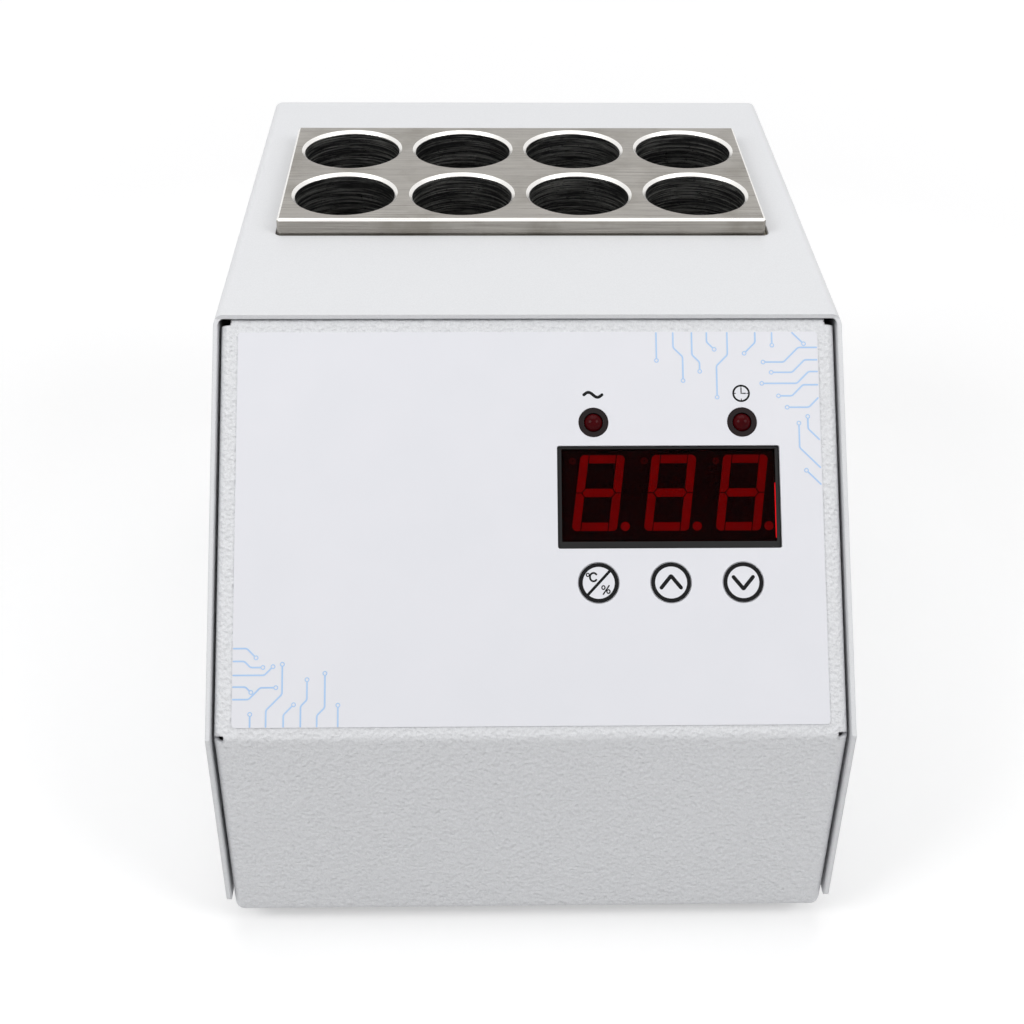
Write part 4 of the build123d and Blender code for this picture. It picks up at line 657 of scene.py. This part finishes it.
def onRocker(sign):
    # a place on one face of the shallow vee: across the switch, along the face from the valley, and out
    def place(across, along, out):
        up = sign * (along * tiltCos - out * tiltSin)
        rise = rockerLook["depth"] + along * tiltSin + out * tiltCos
        frameUp = up * tiltCos - rise * tiltSin
        frameOut = up * tiltSin + rise * tiltCos
        return np.stack([rockerLook["across"] - across, rearY + rockerLook["axisOut"] + frameOut,
                         rockerLook["height"] + frameUp], axis=-1) * mm
    return place


inkPiece("rocker_on_mark", [strokeGrid(rockerLook["bar"], rockerLook["barLine"])], rockerLook["level"],
         inkWhiteMat, "switch_rocker", place=onRocker(1))
inkPiece("rocker_off_mark",
         [ringStroke(rockerLook["ring"], rockerLook["ringRadius"], rockerLook["ringLine"], count=32)],
         rockerLook["level"], inkWhiteMat, "switch_rocker", place=onRocker(-1))
print("keys, display edge and rocker printed")


# Floor, lights, world and camera

stageLook = {"floorHalf": 3.0, "floor": "#dcdcdc", "floorGlow": 0.35, "farGlow": 0.82, "glowFrom": 0.45,
             "glowTo": 1.7, "ambient": 0.34, "sky": "#f7f7f8"}


def seenDirectly(owner):
    # 1 for rays from the camera, off a glossy face or through a clear one, else 0
    rays = addNode(owner, "ShaderNodeLightPath")
    direct = addNode(owner, "ShaderNodeMath", {"operation": "MAXIMUM"},
                     {0: rays.outputs["Is Camera Ray"], 1: rays.outputs["Is Glossy Ray"]})
    sight = addNode(owner, "ShaderNodeMath", {"operation": "MAXIMUM"},
                    {0: direct.outputs[0], 1: rays.outputs["Is Transmission Ray"]})
    return sight.outputs[0]


side = stageLook["floorHalf"]
floorMesh = bpy.data.meshes.new("floor")
floorMesh.from_pydata([(-side, -side, 0), (side, -side, 0), (side, side, 0), (-side, side, 0)], [],
                      [(0, 1, 2, 3)])
floor = bpy.data.objects.new("floor", floorMesh)
bpy.context.scene.collection.objects.link(floor)
# white paper sweep: matt; the lamps fall off, so it glows more towards its far edge and stays white
floorMat, floorSurface = newMaterial("paperFloor", {"Base Color": stageLook["floor"], "Roughness": 0.9,
                                                    "Emission Color": "#ffffff"})
floorPlace = addNode(floorMat, "ShaderNodeTexCoord")
floorReach = addNode(floorMat, "ShaderNodeVectorMath", {"operation": "LENGTH"},
                     {0: floorPlace.outputs["Object"]})
farther = addNode(floorMat, "ShaderNodeMapRange",
                  {"From Min": stageLook["glowFrom"], "From Max": stageLook["glowTo"],
                   "To Min": stageLook["floorGlow"], "To Max": stageLook["farGlow"]},
                  {"Value": floorReach.outputs["Value"]})
glow = addNode(floorMat, "ShaderNodeMath", {"operation": "MULTIPLY"},
               {0: seenDirectly(floorMat), 1: farther.outputs["Result"]})
wire(floorMat, floorSurface, {"Emission Strength": glow.outputs[0]})
floorMesh.materials.append(floorMat)

world = bpy.data.worlds.new("studio")
bpy.context.scene.world = world
world.use_nodes = True
sky = world.node_tree.nodes["Background"]
setSocket(sky, "Color", stageLook["sky"])
skyStrength = addNode(world, "ShaderNodeMapRange", {"To Min": stageLook["ambient"], "To Max": 1.0},
                      {"Value": seenDirectly(world)})
wire(world, sky, {"Strength": skyStrength.outputs["Result"]})


def placeObject(obj, right, up, away, place):
    # lamps and the camera look against the third axis
    turn = np.eye(4)
    turn[:3, 0], turn[:3, 1], turn[:3, 2], turn[:3, 3] = right, up, away, place
    obj.matrix_world = Matrix(turn.tolist())
    bpy.context.scene.collection.objects.link(obj)


lamps = {
    "overhead": {"place": (0.0, 0.3, 1.15), "aim": (0.0, 0.0, 0.1), "size": (1.1, 0.8), "power": 4.7},
    "left": {"place": (-1.0, -0.62, 1.05), "aim": (0.0, -0.05, 0.1), "size": (0.7, 0.7), "power": 8.7},
    "right": {"place": (1.0, -0.62, 1.05), "aim": (0.0, -0.05, 0.1), "size": (0.7, 0.7), "power": 7.5},
}
steepShare = 0.9
for name, lamp in lamps.items():
    light = bpy.data.lights.new(name, "AREA")
    light.shape = "RECTANGLE"
    light.size, light.size_y = lamp["size"]
    light.energy = lamp["power"]
    away = np.array(lamp["place"]) - np.array(lamp["aim"])
    away /= np.linalg.norm(away)
    right = np.cross((0.0, 1.0, 0.0) if abs(away[2]) > steepShare else (0.0, 0.0, 1.0), away)
    right /= np.linalg.norm(right)
    placeObject(bpy.data.objects.new(name, light), right, np.cross(away, right), away, lamp["place"])

# Camera fitted to the photograph: focal length in pixels of its frame, angles in degrees, place in
# millimetres from the foot of the cover's front edge
cameraLook = {"focal": 1574.55, "frame": 1024, "sensor": 36.0, "down": 34.72, "yaw": 1.448, "roll": -0.594,
              "place": (-13.38, -299.81, 349.13), "near": 0.01}
down, yaw, roll = (math.radians(cameraLook[key]) for key in ("down", "yaw", "roll"))
forward = np.array([math.sin(yaw) * math.cos(down), math.cos(yaw) * math.cos(down), -math.sin(down)])
across = np.array([math.cos(yaw), -math.sin(yaw), 0.0])
below = np.cross(forward, across)
right = math.cos(roll) * across + math.sin(roll) * below
lower = -math.sin(roll) * across + math.cos(roll) * below
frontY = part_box("top_cover")[0][1]
cameraData = bpy.data.cameras.new("photoCamera")
cameraData.sensor_width = cameraLook["sensor"]
cameraData.lens = cameraLook["focal"] / cameraLook["frame"] * cameraLook["sensor"]
cameraData.clip_start = cameraLook["near"]
camera = bpy.data.objects.new("photoCamera", cameraData)
placeObject(camera, right, -lower, -forward, np.array(cameraLook["place"]) * mm + (0.0, frontY, 0.0))
bpy.context.scene.camera = camera
bpy.context.scene.view_settings.view_transform = "Standard"
print("stage set")
